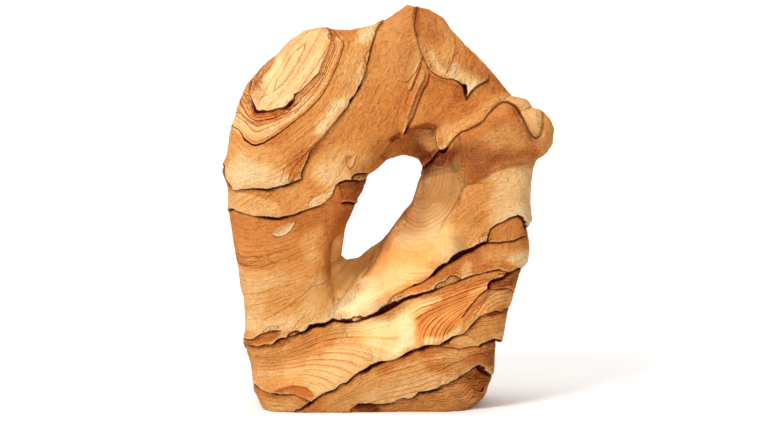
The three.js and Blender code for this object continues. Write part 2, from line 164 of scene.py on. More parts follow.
# Sheets that lie on the beds: height, depth where they end (and on which side of it
# they lie, -1 in front, +1 behind), and outline with half the opening under its edge
SHEETS = {
    "upper_left": (6.6, 14.0, -1, [
        (-2, 238, 0.1), (-4.5, 234), (-7, 228, 0.2), (-9, 224), (-11, 218, 0.3), (-13, 211, 0.3),
        (-15, 204.5, 0.2), (-18, 198, 0.5), (-20, 194, 0.2), (-23, 190.5, 0.6), (-25, 186, 0.4),
        (-30, 180, 0.2), (-35, 174), (-41, 166.5, 0.15), (-45, 162), (-48, 158.5, 0.25), (-49, 154.5),
        (-51, 150, 0.3), (-53, 145, 0.3), (-52, 143), (-57, 141, 0.35), (-62, 139, 0.5), (-68, 137.5, 0.45),
        (-73, 136.5, 0.5), (-80, 137, 0.4), (-86, 137, 0.35), (-91, 136.5, 0.6), (-93, 140, 0.8),
        (-96, 144, 0.6), (-97, 150, 0.4), (-FAR, 156, 0.3), (-FAR, 270, 0), (-2, 270, 0),
    ]),
    "rings": (7.3, 2.0, -1, [
        (-96, 174, -0.6), (-92, 174), (-88, 171.5, -0.6), (-85, 166), (-82, 163), (-80, 162.3, -0.4),
        (-75, 164), (-69, 168, -0.4), (-62, 173), (-56, 178), (-50, 182.5, -0.4), (-44, 188.5),
        (-40, 193.5), (-36, 201, -0.3), (-32, 210), (-29, 217, -0.1), (-27, 223, -0.1), (-33, 228),
        (-38, 240, 0), (-60, 250, 0), (-120, 215, 0), (-120, 176, 0),
    ]),
    "lens": (8.8, -4.0, -1, [
        (-79, 187, 0.5), (-78, 182, 1.0), (-74, 182.5, 0.9), (-70, 182.7, 0.6), (-66, 184.3, 0.3),
        (-62, 185.2, 0.5), (-59.5, 187.5, 0.8), (-57, 190, 0.5), (-56.5, 193, 0.5), (-52.5, 195.5, 0.3),
        (-48, 200), (-44, 204, 0.3), (-42, 206), (-41, 210, 0.15), (-38, 216, 0.1), (-35, 222, 0.1),
        (-37, 240, 0), (-56, 240, 0), (-64, 222, 0), (-73, 211, 0.1), (-79, 203, 0.4), (-80, 197, 0.5),
        (-79.5, 191, 0.4),
    ]),
    "upper_right": (6.4, 6.0, -1, [
        (16.5, 262, 0), (16.5, 247, -0.2), (16.8, 240, 0.1), (16.2, 235, 0.1), (19, 227, 0.15),
        (20.5, 221, 0.1), (23, 215, 0.2), (26, 209.7, 0.2), (30, 207, 0.2), (34, 205, 0.25),
        (40, 204, 0.25), (43, 202.5, 0.3), (46, 200, 0.5), (47.8, 199, 1.0), (48.7, 195, 1.1),
        (49.2, 190.5, 0.5), (51, 194, 0.35), (52, 195.7, 0.4), (55, 198.5, 0.3), (60, 200.8, 0.35),
        (60.3, 204, 0.2), (58, 208), (53.5, 215, 0.2), (50, 219), (47, 222, 0.1), (40, 231, 0),
        (46, 262, 0),
    ]),
    "back_shoulder": (6.6, 4.0, 1, [
        (6, 186, 0.5), (14, 180), (22, 176, 0.7), (33, 168), (42, 158, 0.4), (50, 155), (58, 150, 0.8),
        (66, 141), (74, 136, 0.5), (FAR, 128, 0.5), (FAR, 230, 0), (70, 240, 0.4), (44, 222, 0.3),
        (31, 213), (20, 208, 0.4), (12, 197, 0.3),
    ]),
    "back_leg": (4.6, 0.0, 1, [
        (-FAR, 66, 0.4), (-84, 70, 0.6), (-75, 66), (-66, 64, 0.7), (-58, 68), (-52, 74, 0.4),
        (-46, 90, 0.3), (-50, 98), (-58, 104, 0.4), (-70, 108), (-80, 108, 0.3), (-FAR, 104, 0.3),
    ]),
}

# Cracks that end inside a bed, on the front. Each is half its opening, the step up on
# the left-hand side of its direction of travel, and its points.
HAIRLINES = [
    (0.45, 0.8, [(-86, 44.5), (-81, 45), (-79, 46.5), (-77, 48), (-73, 49.5), (-69, 50.2), (-65, 50)]),
    (0.2, 0.3, [(-76, 50), (-71, 53.5), (-66, 52.5)]),
    (0.55, 0.4, [(-61, 47), (-59, 48.5), (-57, 49.6), (-54, 49.7)]),
    (0.5, 0.7, [(-24.5, 56), (-20, 58), (-16.5, 58.2), (-14.7, 57.4)]),
    (0.4, 0.7, [(28.5, 74.5), (29.5, 77.5), (32, 79), (35, 80), (38.5, 83.2), (41, 83.5), (45.5, 81.3)]),
    (0.9, 1.6, [(62.5, 75.5), (62.3, 77.5), (64, 79.8), (68, 81), (71, 82), (73.5, 85), (76, 86.3),
                (79, 88.3), (82, 88.3)]),
    (0.45, 0.9, [(46, 58), (50, 63.5), (53, 67), (56, 70.5), (60, 74), (62.5, 75.5)]),
    (0.35, 0.5, [(63, 75), (67, 75), (70, 75.4), (74, 75.7), (76.5, 74.5), (79, 71)]),
    (0.5, 1.2, [(60, 104), (63, 103.6), (68, 103.6), (72, 104.2), (77, 104.8), (82, 107), (87, 108.5)]),
    (0.4, 0.6, [(30, 40), (35, 39.2), (41, 38.8), (44, 37.7), (48, 38.7), (53, 39.7), (58, 39.6),
                (61, 41.5), (64.5, 43.8)]),
    (0.8, 0.8, [(57, 40), (61, 42), (65.5, 44.3), (70, 43)]),
    (0.3, 0.5, [(31, 24.5), (35, 26), (38, 28), (45, 30.5), (52, 34), (58, 35.5), (61, 37), (65, 38.5),
                (69, 41)]),
    (0.25, 0.3, [(54.5, 43), (53, 45), (50, 46.3), (46, 47)]),
    (0.2, 0.4, [(-48.5, 126), (-48, 129), (-45, 132), (-41, 133.2), (-38, 134), (-34.5, 136)]),
    (0.35, -0.9, [(-70.5, 108.7), (-69, 107.5), (-66, 107), (-62, 108.5), (-59, 111.5), (-57, 114.5),
                  (-56, 117.5)]),
    (0.25, -0.8, [(-26.5, 151), (-24, 149), (-22.5, 151), (-21.5, 154), (-20, 158)]),
    (0.2, 0.35, [(-76, 56.5), (-67, 61), (-60, 66), (-52, 72), (-47, 77), (-40, 79)]),
    (0.2, 0.3, [(-58, 51), (-54, 56), (-50, 60)]),
    (0.2, 0.5, [(-93, 96.5), (-90, 95.7), (-86, 95), (-80, 95.6), (-75, 96), (-68, 98.5), (-62, 100)]),
    (0.25, 0.7, [(-93, 94), (-90, 91.5), (-85, 89.7), (-80, 88.7), (-76, 89.3), (-72, 91), (-66, 92.5)]),
    (0.15, 0.3, [(-92, 95.3), (-88, 92.3), (-84, 91.8), (-78, 93), (-70, 94)]),
    (0.15, 0.3, [(-87, 72.5), (-78, 73.3), (-72, 75.5), (-64, 77.5), (-58, 79)]),
    (0.15, 0.25, [(-86, 64), (-80, 66), (-72, 67.5), (-64, 71)]),
    (0.7, 1.0, [(-29, 128.5), (-26, 129), (-23, 128.7), (-19, 127)]),
    (0.6, 0.8, [(-23.5, 143.5), (-21.5, 145.5), (-17, 146.3), (-10, 146.5)]),
    (0.25, -0.5, [(-27.5, 223), (-31, 227), (-33.5, 230), (-36, 234)]),
    (0.25, -0.4, [(-34, 225), (-36, 228), (-38, 231), (-39, 235)]),
    (0.3, 0.4, [(-32.3, 226), (-33.5, 223.8), (-35.5, 224), (-36.7, 225.7), (-36, 227.7), (-34, 228),
                (-32.4, 226.5)]),
    (0.7, 0.6, [(-98, 169), (-96.3, 171), (-95, 174), (-92.5, 180), (-90, 187), (-88, 194)]),
    (0.25, 0.3, [(-88, 195), (-84, 193.5), (-81.5, 190), (-80.3, 187)]),
    (0.2, 0.3, [(-88.5, 191.5), (-85.5, 189.5), (-84, 187.5), (-81, 186.5)]),
    (0.25, 0.5, [(-90.5, 182), (-87, 181.8), (-84, 179.5), (-81, 176.8), (-77, 176), (-74.5, 177.3),
                 (-70, 178), (-65, 180.7), (-59, 182.7), (-55, 184.5), (-51, 188), (-47, 192.5), (-43, 198),
                 (-39.7, 203), (-37.5, 209), (-34.5, 216), (-32.7, 222)]),
    (0.15, 0.3, [(-86, 178), (-83, 175.3), (-79, 174.8), (-73, 175.3), (-66, 178), (-60, 180.7),
                 (-54, 183.3)]),
    (0.15, -0.3, [(-78.5, 205), (-77.6, 201), (-77.3, 197), (-76.3, 194)]),
    (0.2, -0.3, [(-73, 209.5), (-75.5, 205.5), (-76.4, 201), (-76, 197.5), (-75, 195)]),
    (0.2, -0.3, [(-64, 219), (-69, 212), (-72.5, 207), (-74, 202), (-74, 198)]),
    (0.2, -0.5, [(34.5, 187), (33.5, 184), (31, 180.5), (27, 177.5)]),
    (0.3, 0.4, [(10, 202), (12, 201.7), (14.5, 204), (17.5, 208), (20, 213), (21.5, 216), (23, 214.5)]),
    (0.25, -0.6, [(38.6, 229), (38.9, 226), (39.6, 221), (39.3, 216), (37.5, 211), (35.5, 207.5)]),
    (0.15, -0.4, [(41, 221), (42.5, 216), (42.3, 211), (40.5, 206)]),
    (0.3, 0.6, [(-60.5, 141.5), (-59.5, 146), (-56.5, 151), (-52, 156), (-48, 161), (-43, 165.7)]),
    (0.2, 0.4, [(-58, 141), (-57.5, 144), (-55.5, 146.5), (-52.5, 147)]),
    (0.2, 0.4, [(-65, 141), (-63, 149), (-57, 156), (-50, 162)]),
    (0.25, 0.4, [(-13, 211), (-14.5, 213), (-14.8, 216), (-12, 219.5), (-10.5, 220.5)]),
    (0.2, 0.4, [(-75, 130), (-71, 134), (-66.5, 137)]),
    (0.3, 0.5, [(30.5, 173), (30.5, 168), (31.5, 163.5), (33.5, 160)]),
    (0.3, 0.5, [(37.5, 158.5), (37.3, 154), (35.5, 151), (33, 150), (30.5, 151), (31.5, 154), (34, 155.5)]),
    (0.2, 0.6, [(44, 165.5), (46.5, 160.5), (47.5, 154), (48.3, 148), (46.5, 141)]),
    (0.15, 0.3, [(33, 113), (37, 120), (41, 127), (44, 134)]),
    (0.2, 0.3, [(56, 103.5), (55.5, 106), (57.5, 109), (60.5, 110.5)]),
    (0.15, 0.3, [(58.5, 104), (58, 106.5), (60, 109), (61.5, 109.5)]),
    (0.3, 0.5, [(45, 17.5), (49, 19.5), (52, 17.7), (55, 18), (58, 20.5)]),
    (0.3, 0.5, [(40, 17), (45, 16), (50, 16.5), (55, 17.5), (60, 20.5)]),
]

# Ridges (+) and folds (-) on the front: rise, half width, points
RIDGES = [
    (2.0, 0.9, [(22, 205), (18.5, 199), (16, 193), (13, 184), (10, 176), (6.5, 170.5)]),
    (-1.6, 1.3, [(24.5, 209), (23.5, 203), (20, 197), (17.3, 190), (14.5, 182), (11, 175)]),
    (0.9, 0.9, [(20, 213.5), (16.5, 206), (13, 197)]),
    (1.1, 1.3, [(48.5, 154), (48.3, 147), (46, 140), (42, 130), (37, 120)]),
    (0.9, 1.6, [(15, 249), (14.8, 241), (14.8, 233), (18, 226)]),
    (0.8, 1.2, [(29, 175), (35.5, 165), (37, 161)]),
    (-0.8, 1.3, [(88, 155), (80, 153.5), (70, 150.5), (60, 145.5), (48, 138.5)]),
]

# Dished and raised places on the front: rise, and outline of points (x, z, how far the
# edge's slope reaches in). Where no reach is given it runs evenly between its neighbours.
CHANNEL = [
    (2, 116, 2.5), (-2, 104), (-3, 98, 2), (-5, 92), (-10, 85.5, 1.8), (-18, 77.5), (-25, 70.5, 2.5),
    (-30, 66, 6), (-34, 62, 12), (-39, 68, 12), (-40, 80, 12), (-38, 94, 10), (-35, 106, 8), (-20, 118, 4),
]
DISHES = [
    # Channel that slopes down from the hole between the left leg and the scoop
    (-7.5, CHANNEL),
    # Hollow under the beam
    (-7.0, [(-8, 156, 4), (-2, 164, 6), (4, 169.5, 4), (12, 173.5, 3), (19, 175.3), (26, 174.5),
            (30, 172, 2), (30.5, 166), (33, 160, 2.5), (30, 152), (24, 146, 4), (14, 150)]),
    # Sunken face beside the upper right sheet
    (-2.4, [(25, 208, 2), (34, 204), (45, 200, 1.5), (48, 192, 6), (40, 187, 8), (33, 181), (28, 176, 4),
            (18, 176.5), (13, 179, 3), (17, 190, 2.5), (21, 199)]),
    # Chip in the left leg, and a small pocket beside the hole
    (-1.8, [(-71, 109, 1.5), (-66, 107.2), (-61, 109.3), (-57.5, 114), (-56.3, 117), (-62, 115.5, 2.5),
            (-68, 112.5)]),
    (-1.8, [(-27, 157, 1.2), (-22, 158), (-21.8, 153), (-24, 149.5), (-26.5, 151.5)]),
    # Dark recess at the right foot, and the brown flake bed at the left
    (-2.5, [(50, 22, 1.5), (57, 25.5), (62, 25), (64, 21), (58, 18.5), (50, 17)]),
    (-1.4, [(-86, 44, 0.8), (-80, 45), (-74, 49), (-66, 49.8), (-69, 44), (-75, 42.5)]),
    # Layers worn off at the lower left corner, above the small foot crack
    (-1.0, [(-72, 11, 1.2), (-66, 14), (-58, 16.3), (-50, 15), (-46, 12), (-44, 9), (-50, 8), (-60, 9.5)]),
    # Broken hollow where the plate's end hangs beside the hole
    (-2.0, [(-31, 139.5, 1.5), (-20, 141.5), (-10, 142), (-10, 130), (-19, 129.5), (-29, 130)]),
    # Step of the shoulder over the right leg
    (1.8, [(46, 163, 1.5), (50, 171), (60, 177), (66, 184.5), (74, 186), (80, 178), (88, 166), (93, 170),
           (96, 186), (125, 186), (125, 154, 1.2), (88, 155), (80, 153.5), (70, 150.5), (60, 145.5),
           (49, 139), (49, 150, 1.5)]),
]

# Ridges that the material also draws, as creases down the cap with a painted highlight along
# the crest and painted shade beside it, and the one over which the shoulder lies
CREASES = 3
SHOULDER_RIDGE = -1

# Steps around the fine outlines, and how many of them soften each
FINE_STEPS = 8000
OUTLINE_SOFTNESS, THROAT_SOFTNESS = 9, 40

# Depths between which the front's layout, layers, colours, forms and hairlines turn into
# those of the back, and how far the hairlines close on the way
BACK_LAYOUT_BETWEEN = (-26.0, 48.0)
BACK_LAYERS_BETWEEN = (-20, 50)
FRONT_COLOURS_BETWEEN = (-24, 6)
FRONT_FORMS_BETWEEN = (-24, -8)
HAIRLINES_CLOSE_BETWEEN = (-24, -12)
HAIRLINES_CLOSE_BY = 8

# Half opening of the beds' cracks on the sides and the back, where they take it on, and
# half opening past the end of a sheet, which closes its edge
SIDE_OPENING = 0.45
SIDE_OPENING_BETWEEN = (-34, -12)
CLOSED = -0.4
# Where the left foot's crack and the wedge's crack end and where the wedge begins, seen
# from the front, and how far their opening falls there
LEFT_FOOT_END = (-46, -44.5)
WEDGE_TIP, WEDGE_TIP_LENGTH = -5, 3
WEDGE_START = (-7, -3)
SHUT = 3
# Half width of the slope of a step at a bed's crack, at a sheet's edge, at a hairline, and
# of the stretch in which a sheet's edge passes into its end
CRACK_BLEND, EDGE_BLEND, HAIRLINE_BLEND, END_BLEND = 0.35, 0.3, 0.25, 2
# How softly a sheet's edge turns into its end, and how much it follows the cracks' wander
SHEET_ROUNDING = 4.0
SHEET_WANDER = 0.7

# Open cracks: flat floor as a share of half the opening, mouth as a share of it plus the
# wall, depth for each millimetre of half the opening past the thinnest, and greatest depth
CRACK_FLOOR, CRACK_MOUTH, CRACK_WALL = 0.7, 1.1, 0.25
THINNEST_CRACK, DEPTH_BY_OPENING, DEEPEST_CRACK = 0.25, 4.4, 4.0
# Steps beside the hairlines: how far they reach, the groove along them, and how soon they
# fade past the line's end
STEP_REACH, GROOVE_SHARE, GROOVE_REACH, STEP_FADE = 3.5, 0.5, 2.0, 2.5

# Noises: (amount in millimetres or as a share, size in millimetres, seed)
BACK_WANDER = (2.6, 19, 13)
EDGE_JITTER = [(0.35, 4.5, 11), (0.2, 2.2, 12)]
OPENING_SWINGS = [(0.45, 6, 14)]
SHEET_END_WAVES = [(7, 27, 16), (3, 12, 17), (1.5, 9, 15)]
WEATHERING = [(0.55, 7, 21), (0.32, 3.1, 22), (0.16, 1.7, 23)]
LATTICE_VALUES = 4096
LATTICE_PRIMES = np.array([73856093, 19349663, 83492791])

# Flat maps: how much nearer a later side has to be to count, and how many cells before the
# far edge the last place lies that can be looked up
CLEARLY_NEARER = 1e-9
EDGE_CELLS = 1.001

# Points of the grid around the ring and around its section, and triangles that are kept
FULL_GRID, QUICK_GRID = (1300, 720), (760, 420)
TRIANGLES = 192000


def lobes(setting, heading):
    """Usual value plus each added amount times a bell curve of the heading, in degrees."""
    usual, added = setting
    value = np.full(heading.shape, float(usual))
    for centre, width, amount in added:
        away = (np.degrees(heading) - centre + 180) % 360 - 180
        value += amount * np.exp(-((away / width) ** 2))
    return value


def lerp(a, b, t):
    return a + (b - a) * t


def ramp(low, high, value):
    """Smooth step: 0 below low, 1 above high, 3t^2 - 2t^3 between."""
    t = np.clip((value - low) / (high - low), 0.0, 1.0)
    return t * t * (3 - 2 * t)


def ray_meets(outline, angle):
    """Where rays from the hole's centre cross a closed outline: for the side a-b that spans
    the ray's angle, the distance is cross(a, b - a) / cross(ray, b - a)."""
    points = np.array(outline, float) - (HOLE_X, HOLE_Z)
    headings = np.arctan2(points[:, 1], points[:, 0])
    order = np.argsort(headings)
    points = points[order]
    headings = headings[order]
    wrapped = (angle + np.pi) % (2 * np.pi) - np.pi
    after = np.searchsorted(headings, wrapped) % len(points)
    b = points[after]
    a = points[after - 1]
    side = b - a
    ray = np.stack([np.cos(angle), np.sin(angle)], -1)
    reach = (a[..., 0] * side[..., 1] - a[..., 1] * side[..., 0]) / (
        ray[..., 0] * side[..., 1] - ray[..., 1] * side[..., 0])
    return ray * reach[..., None] + (HOLE_X, HOLE_Z)


def softened(line, spread):
    """Closed row of points, each averaged with its neighbours by a bell curve."""
    count = len(line)
    steps = np.minimum(np.arange(count), count - np.arange(count))
    bell = np.exp(-0.5 * (steps / spread) ** 2)
    spectrum = np.fft.fft(bell / bell.sum())
    return np.real(np.fft.ifft(np.fft.fft(line, axis=0) * spectrum[:, None], axis=0))


def hole_angle(turn):
    """Angle around the slanted hole that belongs to a turn around the ring of stone. With
    s the turn from the hole's long axis, it is atan2(half width * sin s, half length * cos s)."""
    swing = turn - HOLE_TILT
    return HOLE_TILT + np.arctan2(HOLE_HALF_WIDTH * np.sin(swing), HOLE_HALF_LENGTH * np.cos(swing))


def face_depth(base, relief, x, z):
    """Distance of a face from the middle plane: thinner at top and foot, plus bell swellings."""
    depth = base - TOP_THINNING * ramp(*TOP_THINS_BETWEEN, z)
    depth = depth - FOOT_THINNING * ramp(0, FOOT_THINS_OVER, FOOT_THINS_BELOW - z)
    for swell_x, swell_z, radius, rise in relief:
        depth += rise * np.exp(-((x - swell_x) ** 2 + (z - swell_z) ** 2) / radius ** 2)
    return depth


def mean_surface(columns, rows):
    """Ring-shaped mean surface on a grid of turn (around the hole) by around (the section).
    A section runs from throat to outer edge and back as a squarish loop
    |c|^n + |s|^n = 1, with c across the ring, s through its depth and n its corner number.
    Columns are spaced evenly along the outer edge. Places are as seen from the front."""
    fine = np.linspace(-np.pi, np.pi, FINE_STEPS, endpoint=False)
    edge_line = softened(ray_meets(OUTLINE, fine), OUTLINE_SOFTNESS)
    throat_line = softened(ray_meets(THROAT, hole_angle(fine)), THROAT_SOFTNESS)
    length = np.linalg.norm(np.roll(edge_line, -1, axis=0) - edge_line, axis=1)
    travelled = np.concatenate([[0], np.cumsum(length)])
    turn = np.interp(np.linspace(0, travelled[-1], columns, endpoint=False), travelled,
                     np.linspace(-np.pi, np.pi, FINE_STEPS + 1))
    position = (turn + np.pi) / (2 * np.pi) * FINE_STEPS

    def picked(line):
        """Points of a fine closed line at the columns' positions."""
        closed = np.vstack([line, line[:1]])
        return np.stack([np.interp(position, np.arange(FINE_STEPS + 1), closed[:, k]) for k in (0, 1)], -1)

    edge, throat = picked(edge_line), picked(throat_line)
    inner = hole_angle(turn)
    around = np.linspace(0, 2 * np.pi, rows, endpoint=False)[None, :]
    across, deep = np.cos(around), np.sin(around)
    throat_corner = np.where(deep > 0, lobes(FRONT_THROAT_CORNER, inner)[:, None],
                             lobes(BACK_THROAT_CORNER, inner)[:, None])
    corner = lerp(lobes(EDGE_CORNER, turn)[:, None], throat_corner, (1 + across) / 2)
    reach = (np.abs(across) ** corner + np.abs(deep) ** corner) ** (-1 / corner)
    share = 0.5 - 0.5 * across * reach
    x = lerp(throat[:, :1], edge[:, :1], share)
    z = lerp(throat[:, 1:], edge[:, 1:], share)
    middle = lobes(THROAT_DEPTH, inner)[:, None] * (1 - share)
    front = -face_depth(FRONT_DEPTH, FRONT_RELIEF, x, z)
    back = face_depth(BACK_DEPTH, BACK_RELIEF, x, z)
    y = lerp(middle, np.where(deep > 0, front, back), np.abs(deep * reach))
    return np.stack([x, y, z], -1)


def settled(points):
    """Moves places from where the eye sees them to where they are. For a seen place (u, v)
    and a depth y, the eye's ray gets there at t = (y + D cos r) / (D cos r + v sin r), and
    x = u t, z = D sin r + t (v cos r - D sin r). Behind the middle plane t stays as there."""
    seen_x = (points[..., 0] - SEEN_MIDDLE_X) * SEEN_SCALE
    seen_z = (points[..., 2] - SEEN_MIDDLE_Z) * SEEN_SCALE
    away, up = EYE_AWAY * math.cos(EYE_RISE), EYE_AWAY * math.sin(EYE_RISE)
    near = np.minimum(points[..., 1], 0)
    t = (near + away) / (away + seen_z * math.sin(EYE_RISE))
    x = AIM_X + seen_x * t
    z = AIM_Z + up + t * (seen_z * math.cos(EYE_RISE) - up)
    return np.stack([x, points[..., 1], z], -1)


def outward_of(points):
    """Unit normal of a closed grid: cross product of its two central differences."""
    along = np.roll(points, -1, axis=0) - np.roll(points, 1, axis=0)
    around = np.roll(points, -1, axis=1) - np.roll(points, 1, axis=1)
    normal = np.cross(around, along)
    return normal / np.maximum(np.linalg.norm(normal, axis=-1, keepdims=True), 1e-9)


def lattice_noise(points, size, seed):
    """Smooth noise, -1 to 1: random values on a cubic lattice of that size in millimetres,
    blended along each axis by a smooth step."""
    table = np.random.default_rng(seed).uniform(-1, 1, LATTICE_VALUES).astype(np.float32)
    scaled = points / size
    cell = np.floor(scaled).astype(np.int64)
    t = (scaled - cell).astype(np.float32)
    t = t * t * (3 - 2 * t)
    total = np.zeros(points.shape[:-1], np.float32)
    for corner in range(8):
        step = np.array([corner & 1, corner >> 1 & 1, corner >> 2])
        mixed = (cell + step) * LATTICE_PRIMES
        key = (mixed[..., 0] ^ mixed[..., 1] ^ mixed[..., 2]) & (LATTICE_VALUES - 1)
        total += table[key] * np.prod(np.where(step, t, 1 - t), axis=-1)
    return total


def noise_sum(points, parts):
    """Lattice noises laid together, each given as (amount, size in millimetres, seed)."""
    return sum(amount * lattice_noise(points, size, seed) for amount, size, seed in parts)


# Distances to lines are worked out once on a flat map of the front, then looked up

MAP_STEP = 0.7
MAP_X = np.arange(-112, 113, MAP_STEP)
MAP_Z = np.arange(-12, 264, MAP_STEP)
map_x, map_z = np.meshgrid(MAP_X, MAP_Z)


def line_map(line, closed=False):
    """Flat maps of the signed distance to a line, in millimetres, and of half its opening at
    the nearest place. The distance is positive on the left of its direction of travel, or
    inside it if it is closed. Past the ends of an open line the opening shrinks below zero."""
    points = np.array([p[:2] for p in line], float)
    given = [i for i, p in enumerate(line) if len(p) > 2]
    widths = np.zeros(len(line))
    if given:
        widths = np.interp(np.arange(len(line)), given, [line[i][2] for i in given])
    if closed:
        points = np.vstack([points, points[:1]])
        widths = np.append(widths, widths[0])
    best = np.full(map_x.shape, np.inf)
    sign = np.ones(map_x.shape)
    opening = np.zeros(map_x.shape)
    inside = np.zeros(map_x.shape, bool)
    last = len(points) - 2
    for i in range(last + 1):
        (ax, az), (bx, bz) = points[i], points[i + 1]
        side_x, side_z = bx - ax, bz - az
        length = math.hypot(side_x, side_z)
        along = ((map_x - ax) * side_x + (map_z - az) * side_z) / length ** 2
        share = np.clip(along, 0, 1)
        off_x = map_x - ax - share * side_x
        off_z = map_z - az - share * side_z
        square = off_x ** 2 + off_z ** 2
        nearer = square < best - CLEARLY_NEARER
        best = np.where(nearer, square, best)
        sign = np.where(nearer, np.sign(side_x * off_z - side_z * off_x), sign)
        here = lerp(widths[i], widths[i + 1], share)
        if i == 0 and not closed:
            here = here - np.maximum(-along, 0) * length
        if i == last and not closed:
            here = here - np.maximum(along - 1, 0) * length
        opening = np.where(nearer, here, opening)
        if az != bz:
            spans = (az > map_z) != (bz > map_z)
            inside ^= spans & (map_x < (bx - ax) * (map_z - az) / (bz - az) + ax)
    distance = np.sqrt(best)
    if closed:
        return np.where(inside, distance, -distance), opening
    return distance * np.where(sign == 0, 1, sign), opening


def look_up(flat_map, x, z):
    """Value of a flat map at places, blended between its four nearest cells."""
    col = np.clip((x - MAP_X[0]) / MAP_STEP, 0, len(MAP_X) - EDGE_CELLS)
    row = np.clip((z - MAP_Z[0]) / MAP_STEP, 0, len(MAP_Z) - EDGE_CELLS)
    c, r = col.astype(int), row.astype(int)
    tc, tr = col - c, row - r
    low = lerp(flat_map[r, c], flat_map[r, c + 1], tc)
    high = lerp(flat_map[r + 1, c], flat_map[r + 1, c + 1], tc)
    return lerp(low, high, tr)


crack_maps = {name: line_map(line) for name, (_, line) in BED_CRACKS.items()}
sheet_maps = {name: line_map(edge, closed=True) for name, (_, _, _, edge) in SHEETS.items()}
hairline_maps = [line_map(line) for _, _, line in HAIRLINES]
ridge_maps = [line_map(line) for _, _, line in RIDGES]
dish_maps = [line_map(edge, closed=True) for _, edge in DISHES]


def usual_height(z):
    """Height from which the beds' steps on the sides are counted."""
    return lerp(FOOT_HEIGHT, CROWN_HEIGHT, ramp(0, CROWN_LEVEL, z))


def rounded_minimum(a, b):
    """Smaller of two distances, with the corner where they are alike rounded off: with R the
    rounding it is min(a, b) - R ln(1 + e^(-|a - b| / R))."""
    return np.minimum(a, b) - SHEET_ROUNDING * np.log1p(np.exp(-np.abs(a - b) / SHEET_ROUNDING))


def layout(points):
    """Where each point lies in the stone's layering. Returns the place, the signed distance
    to each bed's crack (positive above it) and to each sheet's edge (positive inside it),
    half the opening of both, the share of each bed that the point belongs to, and the height
    at which its bed or sheet lies."""
    x, y, z = points[..., 0], points[..., 1], points[..., 2]
    depth_share = ramp(*BACK_LAYOUT_BETWEEN, y)
    amount, size, seed = BACK_WANDER
    wander = depth_share * amount * lattice_noise(points, size, seed) + noise_sum(points, EDGE_JITTER)
    uneven_width = 1 + noise_sum(points, OPENING_SWINGS)
    above, opening = {}, {}
    for name, (lift, _) in BED_CRACKS.items():
        at_z = z - lift * depth_share - wander
        above[name] = look_up(crack_maps[name][0], x, at_z)
        on_front = look_up(crack_maps[name][1], x, at_z)
        opening[name] = lerp(on_front, SIDE_OPENING, ramp(*SIDE_OPENING_BETWEEN, y)) * uneven_width
    past_left_foot = ramp(*LEFT_FOOT_END, x)
    opening["left_foot"] = opening["left_foot"] - SHUT * past_left_foot
    opening["wedge_top"] = opening["wedge_top"] - SHUT * ramp(0, WEDGE_TIP_LENGTH, WEDGE_TIP - x)
    share = {name: ramp(-CRACK_BLEND, CRACK_BLEND, d) for name, d in above.items()}
    right_of_split = ramp(*WEDGE_START, x)
    share["wedge_top"] = share["wedge_top"] * right_of_split + share["main"] * (1 - right_of_split)

    height = lerp(BED_HEIGHT["right_foot"], BED_HEIGHT["lower_band"], share["lower"])
    height = lerp(height, BED_HEIGHT["middle_band"], share["middle"])
    in_left_foot = (1 - share["left_foot"]) * share["middle"] * (1 - past_left_foot)
    height = lerp(height, BED_HEIGHT["left_foot"], in_left_foot)
    height = lerp(height, BED_HEIGHT["wedge"], share["main"])
    height = lerp(height, BED_HEIGHT["legs"], share["wedge_top"])
    height = lerp(height, BED_HEIGHT["cap"], share["cap"])
    edges = {}
    end_waves = noise_sum(points, SHEET_END_WAVES)
    for name, (rise, end, facing, _) in SHEETS.items():
        aside = wander * SHEET_WANDER
        flat = look_up(sheet_maps[name][0], x + aside, z + aside)
        through = (end - y) * -facing + end_waves
        on_face = look_up(sheet_maps[name][1], x, z) * uneven_width
        opening[name] = lerp(on_face, CLOSED, ramp(-END_BLEND, END_BLEND, flat - through))
        edges[name] = rounded_minimum(flat, through)
        height = lerp(height, rise, ramp(-EDGE_BLEND, EDGE_BLEND, edges[name]))
    return {
        "x": x, "y": y, "z": z, "above": above, "opening": opening, "share": share,
        "edges": edges, "height": height, "in_left_foot": in_left_foot,
    }


def open_cracks(lay):
    """Every crack, as (signed distance, half opening) at the points."""
    closing = HAIRLINES_CLOSE_BY * ramp(*HAIRLINES_CLOSE_BETWEEN, lay["y"])
    found = [(lay["above"][name], lay["opening"][name]) for name in BED_CRACKS]
    found += [(lay["edges"][name], lay["opening"][name]) for name in SHEETS]
    for (flat_map, past), (half, _, _) in zip(hairline_maps, HAIRLINES):
        opening = half + look_up(past, lay["x"], lay["z"]) - closing
        found.append((look_up(flat_map, lay["x"], lay["z"]), opening))
    return found


def crack_depth(lay):
    """Depth of the open cracks: flat-bottomed, deeper the wider they stand open."""
    depth = np.zeros(lay["x"].shape)
    for distance, half in open_cracks(lay):
        half = np.maximum(half, 0)
        here = 1 - ramp(half * CRACK_FLOOR, half * CRACK_MOUTH + CRACK_WALL, np.abs(distance))
        deepest = np.clip((half - THINNEST_CRACK) * DEPTH_BY_OPENING, 0, DEEPEST_CRACK)
        depth = np.maximum(depth, here * deepest)
    return depth


def swellings(x, y, z):
    """Gentle uneven rise, as two products of waves that bend each other: 0.9 mm high and
    about 60 mm long, and 0.7 mm high and about 50 mm long."""
    long_waves = 0.9 * np.sin(x / 9 + 1.3 * np.sin(z / 17)) * np.cos(y / 12 + z / 21)
    return long_waves + 0.7 * np.sin(z / 7.5 + x / 23 + 2) * np.sin(y / 15 + 0.7)


